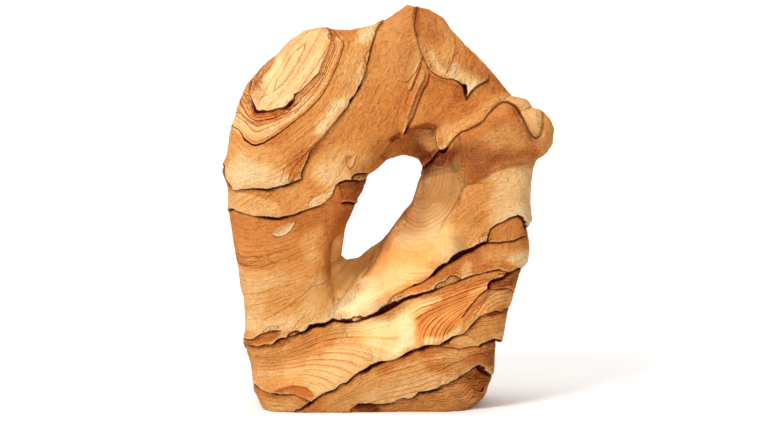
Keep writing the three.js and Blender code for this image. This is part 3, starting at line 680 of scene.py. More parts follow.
def relief_of(points, lay):
    """Rise of the surface apart from the beds, in millimetres: uneven swellings, steps beside
    the hairlines, ridges along lines, dished places and weathering. At a distance d beside a
    hairline, the raised side stands e^(-d / STEP_REACH) of its step, less a groove along it."""
    x, y, z = lay["x"], lay["y"], lay["z"]
    rise_here = swellings(x, y, z)
    front = 1 - ramp(*FRONT_FORMS_BETWEEN, y)
    for (flat_map, past), (_, step, _) in zip(hairline_maps, HAIRLINES):
        near = look_up(flat_map, x, z)
        ends = ramp(-STEP_FADE, 0, look_up(past, x, z))
        raised = ramp(-HAIRLINE_BLEND, HAIRLINE_BLEND, near) * np.exp(-np.maximum(near, 0) / STEP_REACH)
        groove = GROOVE_SHARE * np.exp(-np.abs(near) / GROOVE_REACH)
        rise_here = rise_here + step * (raised - groove) * ends * front
    for (flat_map, _), (rise, half, _) in zip(ridge_maps, RIDGES):
        near = look_up(flat_map, x, z)
        rise_here = rise_here + rise * np.exp(-((near / half) ** 2)) * front
    for (flat_map, reach), (rise, _) in zip(dish_maps, DISHES):
        near = look_up(flat_map, x, z)
        rise_here = rise_here + rise * ramp(0, look_up(reach, x, z), near) * front
    for amount, size, seed in WEATHERING:
        rise_here = rise_here + amount * lattice_noise(points, size, seed)
    return rise_here


def stone_surface(columns, rows):
    """Dressed surface: mean surface plus, along its normal, the height of the bed, less
    the cracks, plus the relief. Points below the underside are flattened onto it."""
    seen = mean_surface(columns, rows)
    mean = settled(seen)
    normal = outward_of(mean)
    lay = layout(seen)
    facing = np.abs(normal[..., 1])
    side_step = SIDE_STEP * (lay["height"] - usual_height(seen[..., 2]))
    rise = lerp(side_step, lay["height"], facing)
    relief = relief_of(seen, lay) * lerp(SIDE_RELIEF, 1.0, facing)
    rise += relief - crack_depth(lay) * lerp(SIDE_CRACKS, 1.0, facing)
    points = mean + normal * rise[..., None]
    points[..., 2] = np.maximum(points[..., 2], 0)
    return points, seen


def grid_mesh(name, points, seen):
    """Closed grid of points as a mesh, with the seen place of each point as an attribute."""
    columns, rows = points.shape[:2]
    index = np.arange(columns * rows).reshape(columns, rows)
    right = np.roll(index, -1, axis=0)
    up = np.roll(index, -1, axis=1)
    corner = np.roll(right, -1, axis=1)
    quads = np.stack([index, up, corner, right], -1).reshape(-1, 4)
    mesh = bpy.data.meshes.new(name)
    mesh.vertices.add(columns * rows)
    mesh.vertices.foreach_set("co", (points.reshape(-1, 3) * MM).astype(np.float32).ravel())
    mesh.loops.add(quads.size)
    mesh.loops.foreach_set("vertex_index", quads.astype(np.int32).ravel())
    mesh.polygons.add(len(quads))
    mesh.polygons.foreach_set("loop_start", np.arange(0, quads.size, 4, dtype=np.int32))
    mesh.update(calc_edges=True)
    kept = mesh.attributes.new("seen", "FLOAT_VECTOR", "POINT")
    kept.data.foreach_set("vector", seen.reshape(-1, 3).astype(np.float32).ravel())
    return mesh


# The dressed stone: a fine grid, thinned where it is flat

grid = FULL_GRID
stone = bpy.data.objects.new("sandstone", grid_mesh("sandstone", *stone_surface(*grid)))
bpy.context.scene.collection.objects.link(stone)

thin = stone.modifiers.new("thin", "DECIMATE")
thin.ratio = TRIANGLES / (2 * grid[0] * grid[1])
thin.use_collapse_triangulate = True
dressed = bpy.data.meshes.new_from_object(stone.evaluated_get(bpy.context.evaluated_depsgraph_get()))
stone.modifiers.clear()
stone.data = dressed
stone.data.name = "sandstone"
stone.data.polygons.foreach_set("use_smooth", np.ones(len(dressed.polygons), bool))
print("triangles", len(dressed.polygons))

# Layer coordinate and colour zones at the final points


def fold(name, x, z):
    """Rings of layers around a centre: distance from it, with x squeezed by a stretch, plus
    the place in the pile at the centre."""
    centre_x, centre_z, stretch, start = FOLDS[name]
    return np.hypot((x - centre_x) / stretch, z - centre_z) + start


def slanted(x, z, degrees):
    """Height above a line through the origin that rises to the right by that angle."""
    angle = math.radians(degrees)
    return z * math.cos(angle) - x * math.sin(angle)


def cornered(a, b, power):
    """Smooth minimum of two distances, so its contours turn a rounded corner:
    (a^-p + b^-p)^(-1/p), with both kept above a least distance."""
    a, b = np.maximum(a, LEAST_DISTANCE), np.maximum(b, LEAST_DISTANCE)
    return (a ** -power + b ** -power) ** (-1 / power)


# Single layers followed across the front, from the top down: place in the pile in
# millimetres, and points from left to right
LEFT_LEG_LAYERS = [
    (0, [(-110, 127), (-80, 120), (-62, 120), (-46, 126), (-34, 134), (-20, 146)]),
    (11, [(-110, 115), (-84, 109), (-68, 110), (-52, 116), (-40, 122), (-28, 130), (-20, 138)]),
    (25, [(-110, 103), (-97, 97), (-85, 95), (-75, 96), (-62, 100), (-48, 106), (-36, 114), (-26, 124)]),
    (31, [(-110, 100), (-95, 93), (-84, 89), (-74, 90), (-62, 94), (-50, 99), (-38, 106), (-26, 118)]),
    (40, [(-110, 84), (-92, 81), (-78, 81), (-64, 85), (-52, 89), (-42, 95), (-26, 110)]),
    (48, [(-110, 72), (-89, 72), (-78, 73), (-64, 77.5), (-52, 82), (-42, 88), (-26, 104)]),
    (55, [(-110, 62), (-88, 63), (-78, 65), (-66, 69), (-54, 75), (-44, 82), (-26, 99)]),
    (62, [(-110, 44), (-88, 50), (-80, 55), (-70, 60), (-60, 66), (-50, 74), (-40, 84), (-30, 96)]),
    (69, [(-80, 48), (-70, 52), (-60, 56), (-52, 64), (-44, 74), (-34, 88)]),
    (75, [(-62, 44), (-56, 50), (-48, 57), (-42, 68), (-34, 80)]),
]
MIDDLE_LAYERS = [
    (0, [(-110, 41.5), (-72, 41.5), (-60, 46), (-50, 49.5), (-42, 53.5), (-30, 56), (-16, 56.5), (0, 63),
         (10, 68), (25, 73), (45, 80)]),
    (3.5, [(-110, 39), (-72, 39), (-60, 42.5), (-50, 46), (-40, 50.5), (-28, 53), (-14, 54), (0, 55.5),
           (8, 58.5), (20, 65), (30, 69)]),
    (9, [(-110, 37), (-72, 36.8), (-58, 39), (-48, 42), (-38, 45.5), (-28, 46.5), (-18, 45.5), (-10, 43.5),
         (-2, 40), (8, 32)]),
    (15, [(-110, 32), (-72, 34), (-58, 36), (-46, 38.5), (-36, 39.5), (-26, 39), (-17, 36.5), (-10, 32.5),
          (-2, 27)]),
    (21, [(-110, 26), (-72, 29), (-58, 31), (-46, 32.5), (-36, 32), (-28, 29.5), (-20, 24.5), (-14, 19)]),
    (28, [(-110, 18), (-72, 24), (-60, 25), (-50, 24.5), (-42, 21.5), (-34, 16), (-30, 10)]),
    (36, [(-90, 7), (-72, 15), (-62, 17), (-54, 17), (-48, 15), (-43, 10), (-40, 2)]),
    (43, [(-80, 0), (-72, 6), (-64, 9.5), (-56, 10), (-50, 7), (-48, 0)]),
]
FAN_LAYERS = [
    (0, [(-5, 60), (5, 65.5), (14, 70.5), (28, 74.5), (45, 80.5), (60, 85), (90, 88)]),
    (4.5, [(11, 40), (11.5, 54), (15, 61), (20, 65.5), (28, 69), (37, 72.5), (48, 76.5), (60, 81),
           (80, 84)]),
    (10, [(19, 30), (18.3, 46), (18.6, 52), (20.5, 57.5), (23.5, 61.5), (27.5, 64.7), (33, 67.3),
          (40, 70.3), (50, 74.3), (70, 80)]),
    (15, [(24, 30), (23.5, 46), (24, 51), (26, 56.5), (29.5, 61), (33.5, 64.5), (39, 67.8), (47, 71.2),
          (66, 78)]),
    (21, [(30, 30), (29.5, 47), (31, 53.5), (34, 58.5), (38.5, 63), (44, 67), (52, 70.8), (62, 75)]),
    (27, [(36, 36), (35, 48), (36.8, 54.5), (40.3, 59.5), (45, 64), (52, 68.8), (60, 73)]),
    (33, [(42, 38), (41, 49), (43, 56), (47, 61.5), (53, 67), (60, 72)]),
    (38, [(47, 38), (46, 50), (49, 57), (54, 63), (62, 71)]),
]
LOWER_LAYERS = [
    (0, [(-70, -12), (-46, 3), (-36, 10.5), (-24, 17.5), (-12, 26), (0, 31), (12, 35), (24, 39), (36, 40),
         (44, 38), (52, 39.5), (62, 42), (90, 46)]),
    (4.5, [(-60, -12), (-42, 3), (-34, 8.5), (-24, 14), (-12, 21), (0, 25.5), (12, 28.5), (24, 32),
           (36, 35), (50, 36), (60, 39), (90, 43)]),
    (11, [(-56, -12), (-39, 2.5), (-32, 7.5), (-22, 11.8), (-10, 17), (2, 20.5), (14, 23.5), (26, 28),
          (38, 31.5), (50, 34), (90, 41)]),
    (18, [(-48, -10), (-36, 0), (-28, 5), (-18, 9), (-6, 13), (6, 15.5), (18, 18.5), (30, 23), (38, 27),
          (48, 31.5), (90, 39)]),
    (25, [(-40, -10), (-30, -3), (-20, 2), (-6, 5), (6, 7), (18, 11), (32, 16.5), (42, 20), (56, 26),
          (90, 36)]),
]
# Where the fan ends against the domed layers at its right
SPLIT = [(42, 44), (44, 52), (46, 58), (50, 63.5), (53, 67), (56, 70.5), (60, 74), (64, 77), (80, 86)]

# Edge of the left leg's layers beside the hole: points (z, x)
LEFT_LEG_BORDER = [(50, -37), (66, -33), (80, -24), (90, -10), (150, -8)]
# Folds of layers: centre, stretch across, and place in the pile at the centre
FOLDS = {
    "upper_right": (8, 224, 1.0, 50), "scoop": (17, 152, 0.75, 0), "right_leg": (78, 98, 1.1, -6),
    "shoulder": (70, 90, 1.4, -13), "dome": (73, 53, 0.9, 14),
}
# Where one pattern of layers gives way to another: from and to
PASSES = {
    "sheet_edge": (-0.3, 0.3), "beam": (-50, -20), "shoulder_crack": (16, 44),
    "scoop_foot": (62, 74), "rim": (41, 43), "rim_height": (112, 122), "rim_right": (20, 30),
    "right_leg": (38, 50), "left_border": (-2, 2), "shoulder_line": (-0.6, 0.6), "shoulder": (45, 49),
    "fan": (8, 15), "split": (-0.2, 0.2), "dome": (42, 46), "comb": (30.5, 32),
    "foot_right": (40, 58), "foot_down": (22, 4),
}
# Slope of the beam's layers, and places in the pile where the beam, the rings, the cap's
# crack and the main crack lie
BEAM_SLOPE = 38
BEAM_START, RINGS_START, CAP_CRACK_START, MAIN_CRACK_START = 152, 60, 65, 86
# Where the layers along the main crack start to bend away from it, and where the comb starts
CRACK_BEND_X, COMB_X = 30, 31
# Followed layers are never taken as closer together, nor distances at a corner as shorter
LEAST_SPACING, LEAST_DISTANCE = 0.05, 0.15


def between(guides, x, z):
    """Place in the pile between followed layers: with distances a below the one above and b
    above the one below, it runs as a / (a + b) from the place of one to that of the other."""
    off = [look_up(line_map(line)[0], x, z) for _, line in guides]
    value = guides[0][0] - off[0]
    for i in range(len(guides) - 1):
        top, foot = guides[i][0], guides[i + 1][0]
        share = np.clip(-off[i] / np.maximum(off[i + 1] - off[i], LEAST_SPACING), 0, 1)
        value = np.where(off[i] < 0, lerp(top, foot, share), value)
    return np.where(off[-1] < 0, guides[-1][0] - off[-1], value)


def passed(name, value):
    """How far a value has passed into the named pattern of layers, 0 to 1."""
    return ramp(*PASSES[name], value)


def cap_layers(lay, x, z):
    """Pile of the cap: slanted layers of the beam that turn along the left sheet's edge, the
    rings' sheet, layers along the shoulder's crack, and the folded sheet at the upper right."""
    edges = lay["edges"]
    beam = lerp(slanted(x, z, BEAM_SLOPE) - BEAM_START, 0.9 * edges["upper_left"], passed("beam", x))
    cap = lerp(beam, RINGS_START - edges["rings"], passed("sheet_edge", edges["upper_left"]))
    cap = lerp(cap, lay["above"]["cap"] - CAP_CRACK_START, passed("shoulder_crack", x))
    return lerp(cap, fold("upper_right", x, z), passed("sheet_edge", edges["upper_right"]))


def leg_layers(lay, x, z):
    """Pile of the legs: followed layers in the left one, rings of the scooped wall that give
    way to layers along the main crack, and the right leg's fold with the shoulder's over it."""
    scoop = fold("scoop", x, z)
    along_crack = MAIN_CRACK_START - lay["above"]["main"] - 0.004 * (x - CRACK_BEND_X) ** 2
    legs = lerp(scoop, along_crack, passed("scoop_foot", scoop))
    right_leg = fold("right_leg", x, z)
    over_rim = passed("rim", scoop + 0.3 * np.maximum(0, 30 - x))
    over_rim = over_rim * passed("rim_height", z + 0.4 * x - 10) * passed("rim_right", x)
    legs = lerp(legs, right_leg, over_rim)
    legs = lerp(legs, right_leg, passed("right_leg", x))
    border_z, border_x = zip(*LEFT_LEG_BORDER)
    past_border = passed("left_border", x - np.interp(z, border_z, border_x))
    legs = lerp(between(LEFT_LEG_LAYERS, x, z), legs, past_border)
    above_line = -look_up(ridge_maps[SHOULDER_RIDGE][0], x, z)
    over_shoulder = passed("shoulder_line", above_line) * passed("shoulder", x)
    return lerp(legs, fold("shoulder", x, z), over_shoulder)


def middle_layers(x, z):
    """Pile of the middle bed: followed layers, the fan, and the domed layers past its end."""
    into_fan = passed("fan", x + 0.3 * (50 - z))
    band = lerp(between(MIDDLE_LAYERS, x, z), between(FAN_LAYERS, x, z), into_fan)
    past_split = -look_up(line_map(SPLIT)[0], x, z)
    return lerp(band, fold("dome", x, z), passed("split", past_split) * passed("dome", x))


def lower_layers(x, z):
    """Pile of the lower bed: followed layers, and at the right a comb of layers that turn a
    corner under a thin one. With r the distance right of the comb's start it is
    1.3 cornered(r - (z - 20) / 4, (24 + 0.42 r - z) / 0.4) + 12."""
    right = x - COMB_X
    comb = cornered(right + (z - 20) * -0.25, (24 + right * 0.42 - z) / 0.4, 2.0) * 1.3 + 12
    below_thin = (24.5 + right * 0.43) - z
    in_comb = passed("sheet_edge", below_thin) * passed("comb", x - below_thin * 0.1)
    return lerp(between(LOWER_LAYERS, x, z), comb, in_comb)


def foot_layers(x, z):
    """Pile of the right foot: 1.8 mm for each millimetre up, waved, rising to the right."""
    waves = 1.3 * np.sin(x / 5) + 0.8 * np.sin(x / 2.1 + z / 3)
    return 1.8 * (z - 0.28 * x + waves + 9 * passed("foot_right", x) * passed("foot_down", z))


def layers_of(lay):
    """Place in the pile of layers, in millimetres, as a different folded coordinate in each
    bed. Towards the back the places drift aside, so the layers lie differently there."""
    to_back = ramp(*BACK_LAYERS_BETWEEN, lay["y"])
    x = lay["x"] + to_back * (12 * np.sin(lay["z"] / 37 + 0.6) - 6)
    z = lay["z"] + to_back * (9 * np.sin(lay["x"] / 31 + 2) - 5) - 0.12 * lay["y"]
    above, share = lay["above"], lay["share"]
    value = lerp(foot_layers(x, z), lower_layers(x, z), share["lower"])
    value = lerp(value, middle_layers(x, z), share["middle"])
    value = lerp(value, above["left_foot"] * 1.4, lay["in_left_foot"])
    value = lerp(value, above["main"] * (1 + 0.25 * np.cos(x / 9)), share["main"])
    value = lerp(value, leg_layers(lay, x, z), share["wedge_top"])
    return lerp(value, cap_layers(lay, x, z), share["cap"])


# Iron stain on the front, and painted shade in its hollows, recesses and under its overhangs,
# laid down in this order over BARE_TONE: tone, from 0 (rusty brown) through orange to 1
# (cream), how softly the patch fades out, and its outline
BARE_TONE = 0.43
PATCHES = [
    # Ringed sheet and its lens
    (0.62, 2, [(-98, 174), (-88, 171), (-82, 163), (-75, 164), (-62, 173), (-44, 188), (-36, 201),
               (-28, 219), (-30, 240), (-98, 240)]),
    (0.85, 2.5, [(-95, 184), (-92, 176), (-86, 169), (-80, 165.5), (-70, 168.5), (-60, 176), (-52, 183),
                 (-56, 184), (-64, 178), (-74, 173), (-82, 173.5), (-87, 180), (-84, 190), (-82, 203),
                 (-90, 200)]),
    (0.86, 2.5, [(-96, 188), (-92, 176), (-86, 169), (-80, 165.5), (-70, 169), (-60, 176), (-50, 184),
                 (-44, 191), (-50, 194), (-58, 187), (-66, 183), (-78, 181), (-80, 192), (-82, 204),
                 (-92, 204)]),
    (0.78, 2, [(-46, 190), (-38, 199), (-33, 210), (-29, 219), (-34, 224), (-40, 210), (-48, 197)]),
    (0.74, 3, [(-78, 179), (-68, 178), (-60, 183), (-52, 190), (-44, 200), (-38, 212), (-42, 212),
               (-50, 200), (-58, 189), (-70, 181)]),
    (0.55, 2, [(-79, 186), (-66, 184), (-57, 190), (-44, 204), (-38, 216), (-38, 236), (-56, 236),
               (-66, 220), (-80, 203)]),
    (0.74, 3, [(-76, 186), (-66, 185), (-58, 190), (-57, 196), (-64, 198), (-63, 206), (-62, 214),
               (-67, 212), (-72, 203), (-76, 194)]),
    (0.7, 3, [(-60, 198.5), (-50, 199), (-42, 206), (-38, 214), (-41, 218), (-50, 210), (-58, 203)]),
    (0.66, 3, [(-56, 210), (-48, 219), (-40, 221), (-37, 231), (-46, 235), (-56, 229)]),
    (0.35, 2, [(-80.5, 190), (-77, 190), (-75, 199), (-70, 207), (-67, 215), (-75, 212), (-82, 203)]),
    (0.55, 1.5, [(-79, 180.5), (-72, 178), (-67, 179), (-60, 184), (-66, 184), (-74, 182)]),
    # Upper left sheet
    (0.28, 4, [(-82, 162), (-74, 161), (-60, 166), (-48, 177), (-40, 188), (-45, 188), (-54, 178),
               (-66, 170), (-76, 165)]),
    (0.45, 4, [(-66, 160), (-52, 166), (-40, 182), (-30, 200), (-22, 222), (-30, 220), (-40, 196),
               (-54, 176)]),
    (0.9, 3, [(-47, 170), (-41, 167), (-34, 176), (-25, 187), (-26, 193), (-34, 191), (-40, 181)]),
    (0.88, 3, [(-24, 199), (-17, 199), (-14, 207), (-15, 214), (-21, 212), (-24, 205)]),
    (0.56, 4, [(-32, 192), (-22, 190), (-12, 220), (-20, 226), (-28, 212)]),
    (0.95, 3, [(-20, 223), (-12, 222), (-5, 230), (-5, 236), (-11, 236), (-16, 230)]),
    (0.36, 1.5, [(-38, 229), (-34, 226), (-18, 228), (-18, 231), (-30, 232), (-38, 234)]),
    (0.55, 5, [(-96, 164), (-74, 166), (-64, 156), (-58, 146), (-64, 139), (-80, 138), (-92, 138),
               (-98, 148)]),
    (0.84, 4, [(-95, 150), (-86, 157), (-79, 151), (-70, 149), (-60, 143), (-64, 138.5), (-82, 137.5),
               (-92, 139)]),
    (0.3, 2.5, [(-58, 140), (-60, 146), (-55, 155), (-46, 164), (-42, 166), (-48, 158), (-51, 148),
                (-53, 143)]),
    # Crack colour and painted shade at the sheet's left end
    (0.15, 1.5, [(-102, 152), (-97, 152), (-95, 144), (-91, 139), (-94, 137), (-99, 143), (-104, 150)]),
    # Beam
    (0.37, 6, [(-48, 158), (-34, 168), (-14, 196), (-2, 204), (12, 204), (16, 196), (12, 184), (2, 168),
               (-10, 158), (-26, 166)]),
    (0.28, 5, [(-2, 180), (2, 200), (10, 206), (17, 202), (14, 188), (6, 178)]),
    (0.34, 4, [(8, 204), (6, 216), (9, 232), (13, 246), (15, 236), (17, 222), (16, 208), (12, 203)]),
    (0.18, 3, [(-54, 155), (-49, 161), (-41, 165), (-40, 161), (-46, 156), (-52, 151)]),
    (0.55, 5, [(-44, 150), (-36, 160), (-20, 164), (-8, 160), (-12, 150), (-22, 148), (-36, 154)]),
    (0.66, 2, [(-28, 153), (-26, 160), (-21, 161), (-20.5, 155), (-23, 150)]),
    (0.7, 4, [(-45, 147), (-40, 152), (-32, 154.5), (-27, 150), (-26, 145), (-31, 141), (-36, 135),
              (-41, 136), (-44, 141)]),
    # Hollow under the beam, darkened as painted shade
    (0.22, 5, [(-12, 150), (0, 163), (10, 174), (22, 180), (32, 178), (36, 170), (30, 158), (10, 156),
               (0, 154)]),
    (0.38, 3, [(-10, 152), (0, 164), (8, 168), (14, 166), (8, 157), (0, 153)]),
    (0.22, 3, [(8, 163), (14, 171), (23, 173), (22, 166), (20, 157), (12, 156)]),
    # Painted shadow line under the beam's bulge
    (-0.05, 1.5, [(1, 167.3), (8, 170.3), (15, 173), (24, 174), (31, 171), (31.5, 174), (24, 177),
                  (14, 176), (6, 172.5), (0, 168.7)]),
    # Painted shadow beside the ridge down the beam
    (0.12, 2, [(11, 180), (14, 190), (19, 201), (24, 210), (26, 207), (23, 199), (17, 188), (14, 179)]),
    # Recess and upper right sheet
    # Sunken face beside the sheet: brown, and darker still as painted shade, most under the sheet's tip
    (0.28, 3, [(24, 209), (34, 205), (45, 201), (49, 192), (44, 184), (34, 178), (22, 180), (19, 190),
               (22, 200)]),
    (0.16, 4, [(38, 182), (40, 198), (44, 203), (48, 199), (51, 192), (46, 184)]),
    (0.22, 3, [(16, 248), (26, 247), (36, 238), (38, 226), (32, 222), (24, 224), (19, 228), (16, 238)]),
    # Painted shade along the step at the sheet's left edge
    (0.05, 1.2, [(15, 248), (18, 247), (19.5, 236), (20.5, 226), (17.5, 229), (15.5, 238)]),
    (0.27, 4, [(42, 232), (46, 222), (44, 210), (50, 206), (60, 204), (57, 216), (47, 230)]),
    (0.46, 3, [(30, 240), (38, 232), (40, 218), (36, 210), (32, 218), (30, 230)]),
    (0.74, 2, [(25, 220), (28, 222), (33, 212), (38, 208), (39, 213), (42, 212), (43, 207.5), (57, 205),
               (60.5, 201.5), (52, 196.5), (49.5, 192), (48, 199), (46, 202), (38, 205), (31, 207),
               (27, 213)]),
    (0.9, 1.5, [(49, 197), (53, 203), (60, 203.5), (60.5, 201), (52, 195.5), (49.6, 191.5)]),
    (0.18, 4, [(50, 206), (61, 212), (76, 196), (70, 192), (60, 192), (56, 198)]),
    (0.3, 4, [(48, 192), (56, 198), (66, 193), (58, 184), (48, 180), (40, 176), (36, 180)]),
    (0.55, 2.5, [(42, 171), (50, 175), (58, 180), (66, 188), (78, 187), (80, 193), (68, 193), (60, 188),
                 (52, 180), (40, 174.5)]),
    (0.56, 2, [(74, 188), (80, 181), (85, 173), (88.5, 168.2), (91.3, 170), (92.8, 178), (94, 187),
               (86, 192), (76, 193)]),
    (0.6, 3, [(33, 172), (38, 163.5), (44, 170), (40, 174)]),
    # Shoulder, knob and scoop
    (0.26, 3, [(44, 168), (58, 177), (67, 186), (75, 187), (84, 173), (90, 167), (90, 156), (60, 146),
               (48, 140), (45, 152)]),
    (0.4, 5, [(60, 172), (74, 174), (84, 168), (82, 162), (66, 160), (60, 164)]),
    (0.5, 3, [(92, 168), (94, 184), (100, 182), (106, 170), (102, 156), (90, 155)]),
    (0.16, 2.5, [(73, 186), (78, 185), (81, 179), (77, 179), (73, 182)]),
    (0.08, 5, [(44, 150), (44, 162), (52, 166), (64, 158), (78, 158), (88, 160), (92, 153), (72, 151),
               (58, 145), (50, 139)]),
    # Top of the scoop under the overhang, darkened as painted shade
    (0.2, 4, [(24, 142), (36, 152), (47, 152), (47, 140), (38, 124), (26, 114), (14, 112), (16, 130)]),
    (0.22, 3, [(41, 150), (49, 150), (50, 140), (44, 126), (40, 130)]),
    (0.36, 5, [(10, 112), (18, 130), (30, 128), (38, 116), (30, 104), (10, 100)]),
    # Painted shade beside the hole under the overhang
    (-0.05, 3, [(18, 160), (24, 158), (34, 160), (44, 160), (42, 153), (34, 150), (27, 143), (20, 142)]),
    (0.4, 2.5, [(18, 169), (24, 172), (30, 170), (30.5, 163), (27, 158.5), (22, 160), (19, 164)]),
    # Painted shadow in the corner beside the hole
    (-0.2, 2, [(18, 155), (24, 158), (31, 161.5), (34, 158), (30, 151), (22, 147)]),
    # Right leg
    (0.45, 3, [(48, 138), (60, 145), (68, 150), (66, 130), (62, 116), (58, 106), (48, 106), (44, 120)]),
    (0.74, 5, [(62, 126), (66, 146), (74, 151.5), (87, 152), (92, 140), (90, 117), (80, 120), (66, 113),
               (60, 116)]),
    (0.9, 4, [(66, 117), (70, 124), (80, 128), (84, 122), (80, 120.5), (71, 116)]),
    (0.8, 2, [(84, 149), (92, 148), (92, 113), (86, 114), (86, 130), (84, 140)]),
    # Gully and lower scoop
    (0.55, 7, [(-14, 70), (-4, 96), (2, 108), (14, 108), (30, 112), (50, 116), (60, 108), (50, 98),
               (34, 88), (16, 76), (-2, 62)]),
    (0.72, 4, [(26, 94), (34, 100), (38, 110), (42, 112), (46, 105), (52, 103), (44, 96.5), (36, 91.5),
               (30, 90)]),
    (0.7, 5, [(-20, 70), (-8, 84), (4, 90), (20, 90), (30, 88), (22, 79.5), (8, 72), (-2, 63), (-14, 60)]),
    (0.92, 5, [(-37, 59), (-32, 67), (-22, 76), (-12, 80), (-4, 72), (-6, 63), (-22, 56)]),
    (0.45, 3, [(-1, 66), (10, 76), (24, 83), (30, 82), (24, 75), (10, 69.5)]),
    # Left leg
    (0.68, 2.5, [(-99, 135), (-84, 134.5), (-68, 129), (-64, 122), (-80, 119), (-98, 124)]),
    (0.52, 2.5, [(-64, 121), (-66, 133), (-54, 138), (-36, 133), (-46, 125)]),
    (0.25, 2, [(-50, 131), (-46, 134), (-38, 135), (-38, 131), (-44, 129.5)]),
    (0.85, 0.8, [(-48.5, 125), (-48, 130), (-43, 133.5), (-38, 134.3), (-33, 138), (-34, 133), (-38, 128.5),
                 (-44, 125.8)]),
    (0.36, 4, [(-98, 123), (-66, 118), (-44, 124), (-30, 136), (-28, 104), (-36, 84), (-64, 92),
               (-94, 92)]),
    (0.28, 5, [(-62, 118), (-44, 124), (-30, 134), (-28, 112), (-40, 104), (-52, 104)]),
    (0.3, 3, [(-98, 122), (-91, 121), (-90, 113), (-97, 112)]),
    (0.33, 3, [(-82, 95), (-68, 99), (-50, 109), (-44, 105), (-60, 98), (-74, 93)]),
    (0.55, 3, [(-52, 90), (-52, 104), (-42, 112), (-39, 104), (-42, 90)]),
    # Inner side of the left leg, turned from the light towards the hole, darkened as painted shade
    (0.14, 5, [(-34, 130), (-20, 128), (-26, 112), (-30, 96), (-34, 78), (-40, 84), (-38, 104),
               (-33, 118)]),
    # Painted shade under the plate's end that hangs beside the hole
    (0.14, 2.5, [(-31, 139), (-20, 142), (-10, 144), (-12, 132), (-22, 128.5), (-31, 128)]),
    (0.68, 6, [(-94, 90), (-60, 86), (-42, 84), (-36, 70), (-40, 56), (-60, 50), (-84, 48), (-90, 70)]),
    (0.52, 4, [(-76, 76), (-62, 82), (-48, 84), (-44, 76), (-56, 60), (-74, 62)]),
    (0.8, 3, [(-88, 62), (-80, 58), (-76, 53), (-70, 55), (-58, 58), (-56, 52), (-66, 50), (-78, 50),
              (-88, 47)]),
    (0.78, 3, [(-54, 50), (-46, 58), (-36, 60), (-36, 57), (-44, 54.5), (-50, 50.5)]),
    (0.24, 1.2, [(-86, 44), (-80, 46), (-75, 49.3), (-66, 50), (-66, 46), (-75, 42), (-84, 41.5)]),
    (0.8, 0.9, [(-70.5, 108.7), (-66, 107.2), (-62, 108.5), (-59, 111.5), (-56.5, 115.5), (-60, 115.5),
                (-67, 112.5)]),
    # Wedge
    (0.3, 2, [(0, 65), (14, 76), (34, 90), (56, 102), (86, 109), (88, 90), (60, 86), (30, 75), (10, 69)]),
    (0.62, 2, [(46, 82), (45, 88), (48, 94), (52, 92), (52, 86), (50, 81)]),
    (0.2, 2, [(52, 83), (56, 88), (70, 90.5), (72, 88), (62, 85.5)]),
    (0.5, 3, [(56, 90), (58, 100), (72, 102), (78, 98), (68, 92)]),
    (0.84, 3, [(73, 93), (78, 98.5), (90, 99), (90, 89), (80, 89.5)]),
    (0.36, 0.8, [(60.5, 103.5), (62.5, 111), (66, 114.5), (75, 119), (80, 120), (84, 117), (88, 109),
                 (78, 105.5), (70, 103.8)]),
    (0.7, 1, [(27, 75.5), (30, 79), (36, 81.5), (40, 82.5), (36, 79.5), (31, 76.5)]),
    # Middle band
    (0.52, 3, [(-88, 42), (-70, 41), (-46, 52), (-20, 55), (-4, 30), (-30, 14), (-46, 6), (-84, 16)]),
    (0.22, 1.5, [(-84, 41), (-70, 41.5), (-56, 46), (-52, 44), (-60, 41.5), (-76, 38.5), (-86, 38.5)]),
    (0.68, 2, [(-66, 37.5), (-62, 41.5), (-55, 41), (-57, 38), (-62, 36)]),
    (0.42, 3, [(-56, 46), (-44, 50), (-32, 50), (-30, 44), (-36, 36), (-54, 35), (-62, 37), (-60, 43)]),
    (0.66, 5, [(-34, 54), (-4, 60), (2, 50), (0, 30), (-22, 20), (-40, 8), (-52, 16), (-56, 26), (-40, 34),
               (-32, 44)]),
    (0.8, 5, [(-22, 53), (-6, 58), (14, 66), (20, 62), (18, 46), (18, 39), (8, 33), (-12, 28), (-12, 42),
              (-8, 48)]),
    (0.9, 4, [(2, 33.5), (8, 44), (7, 54), (12, 58), (16, 50), (18, 40), (10, 35)]),
    (0.72, 3, [(-84, 20), (-70, 20.5), (-52, 21), (-46, 16), (-42, 9.5), (-34, 12), (-26, 18), (-34, 24),
               (-50, 24), (-84, 26)]),
    (0.2, 1.0, [(-72, 11.3), (-66, 13.8), (-58, 15.5), (-51, 14.5), (-46.5, 11.5), (-44.5, 8.5), (-50, 8),
                (-60, 9.7)]),
    (0.33, 3.5, [(18.5, 62), (34, 74), (62, 82), (78, 84), (74, 64), (62, 61), (50, 51), (40, 46),
                 (26, 41.5), (18.3, 42)]),
    (0.72, 2.5, [(12, 62), (20, 68), (32, 71), (34, 67), (24, 63), (18, 60)]),
    (0.34, 4, [(28, 62), (40, 70), (60, 74), (66, 78), (64, 64), (52, 56), (40, 58)]),
    (0.8, 2, [(21, 43), (24, 46), (32, 46.5), (40, 50), (46, 56), (46, 49), (36, 43.5), (24, 40.5)]),
    (0.64, 2, [(50, 71), (54, 75), (68, 80), (76, 82), (62, 75)]),
    # Brown below the step along the crack at the right, and painted shade under it
    (0.16, 1.5, [(61, 74), (63, 80), (72, 83), (80, 89), (84, 88), (80, 76), (66, 73)]),
    (0.54, 1.5, [(48, 51), (56, 60), (64, 74), (77, 73), (76, 65), (64, 61)]),
    (0.22, 2, [(60, 60), (62, 63), (74, 66), (76, 62), (72, 57), (62, 57)]),
    (0.54, 2, [(48, 49), (58, 57), (72, 60), (73, 48), (58, 44), (50, 45)]),
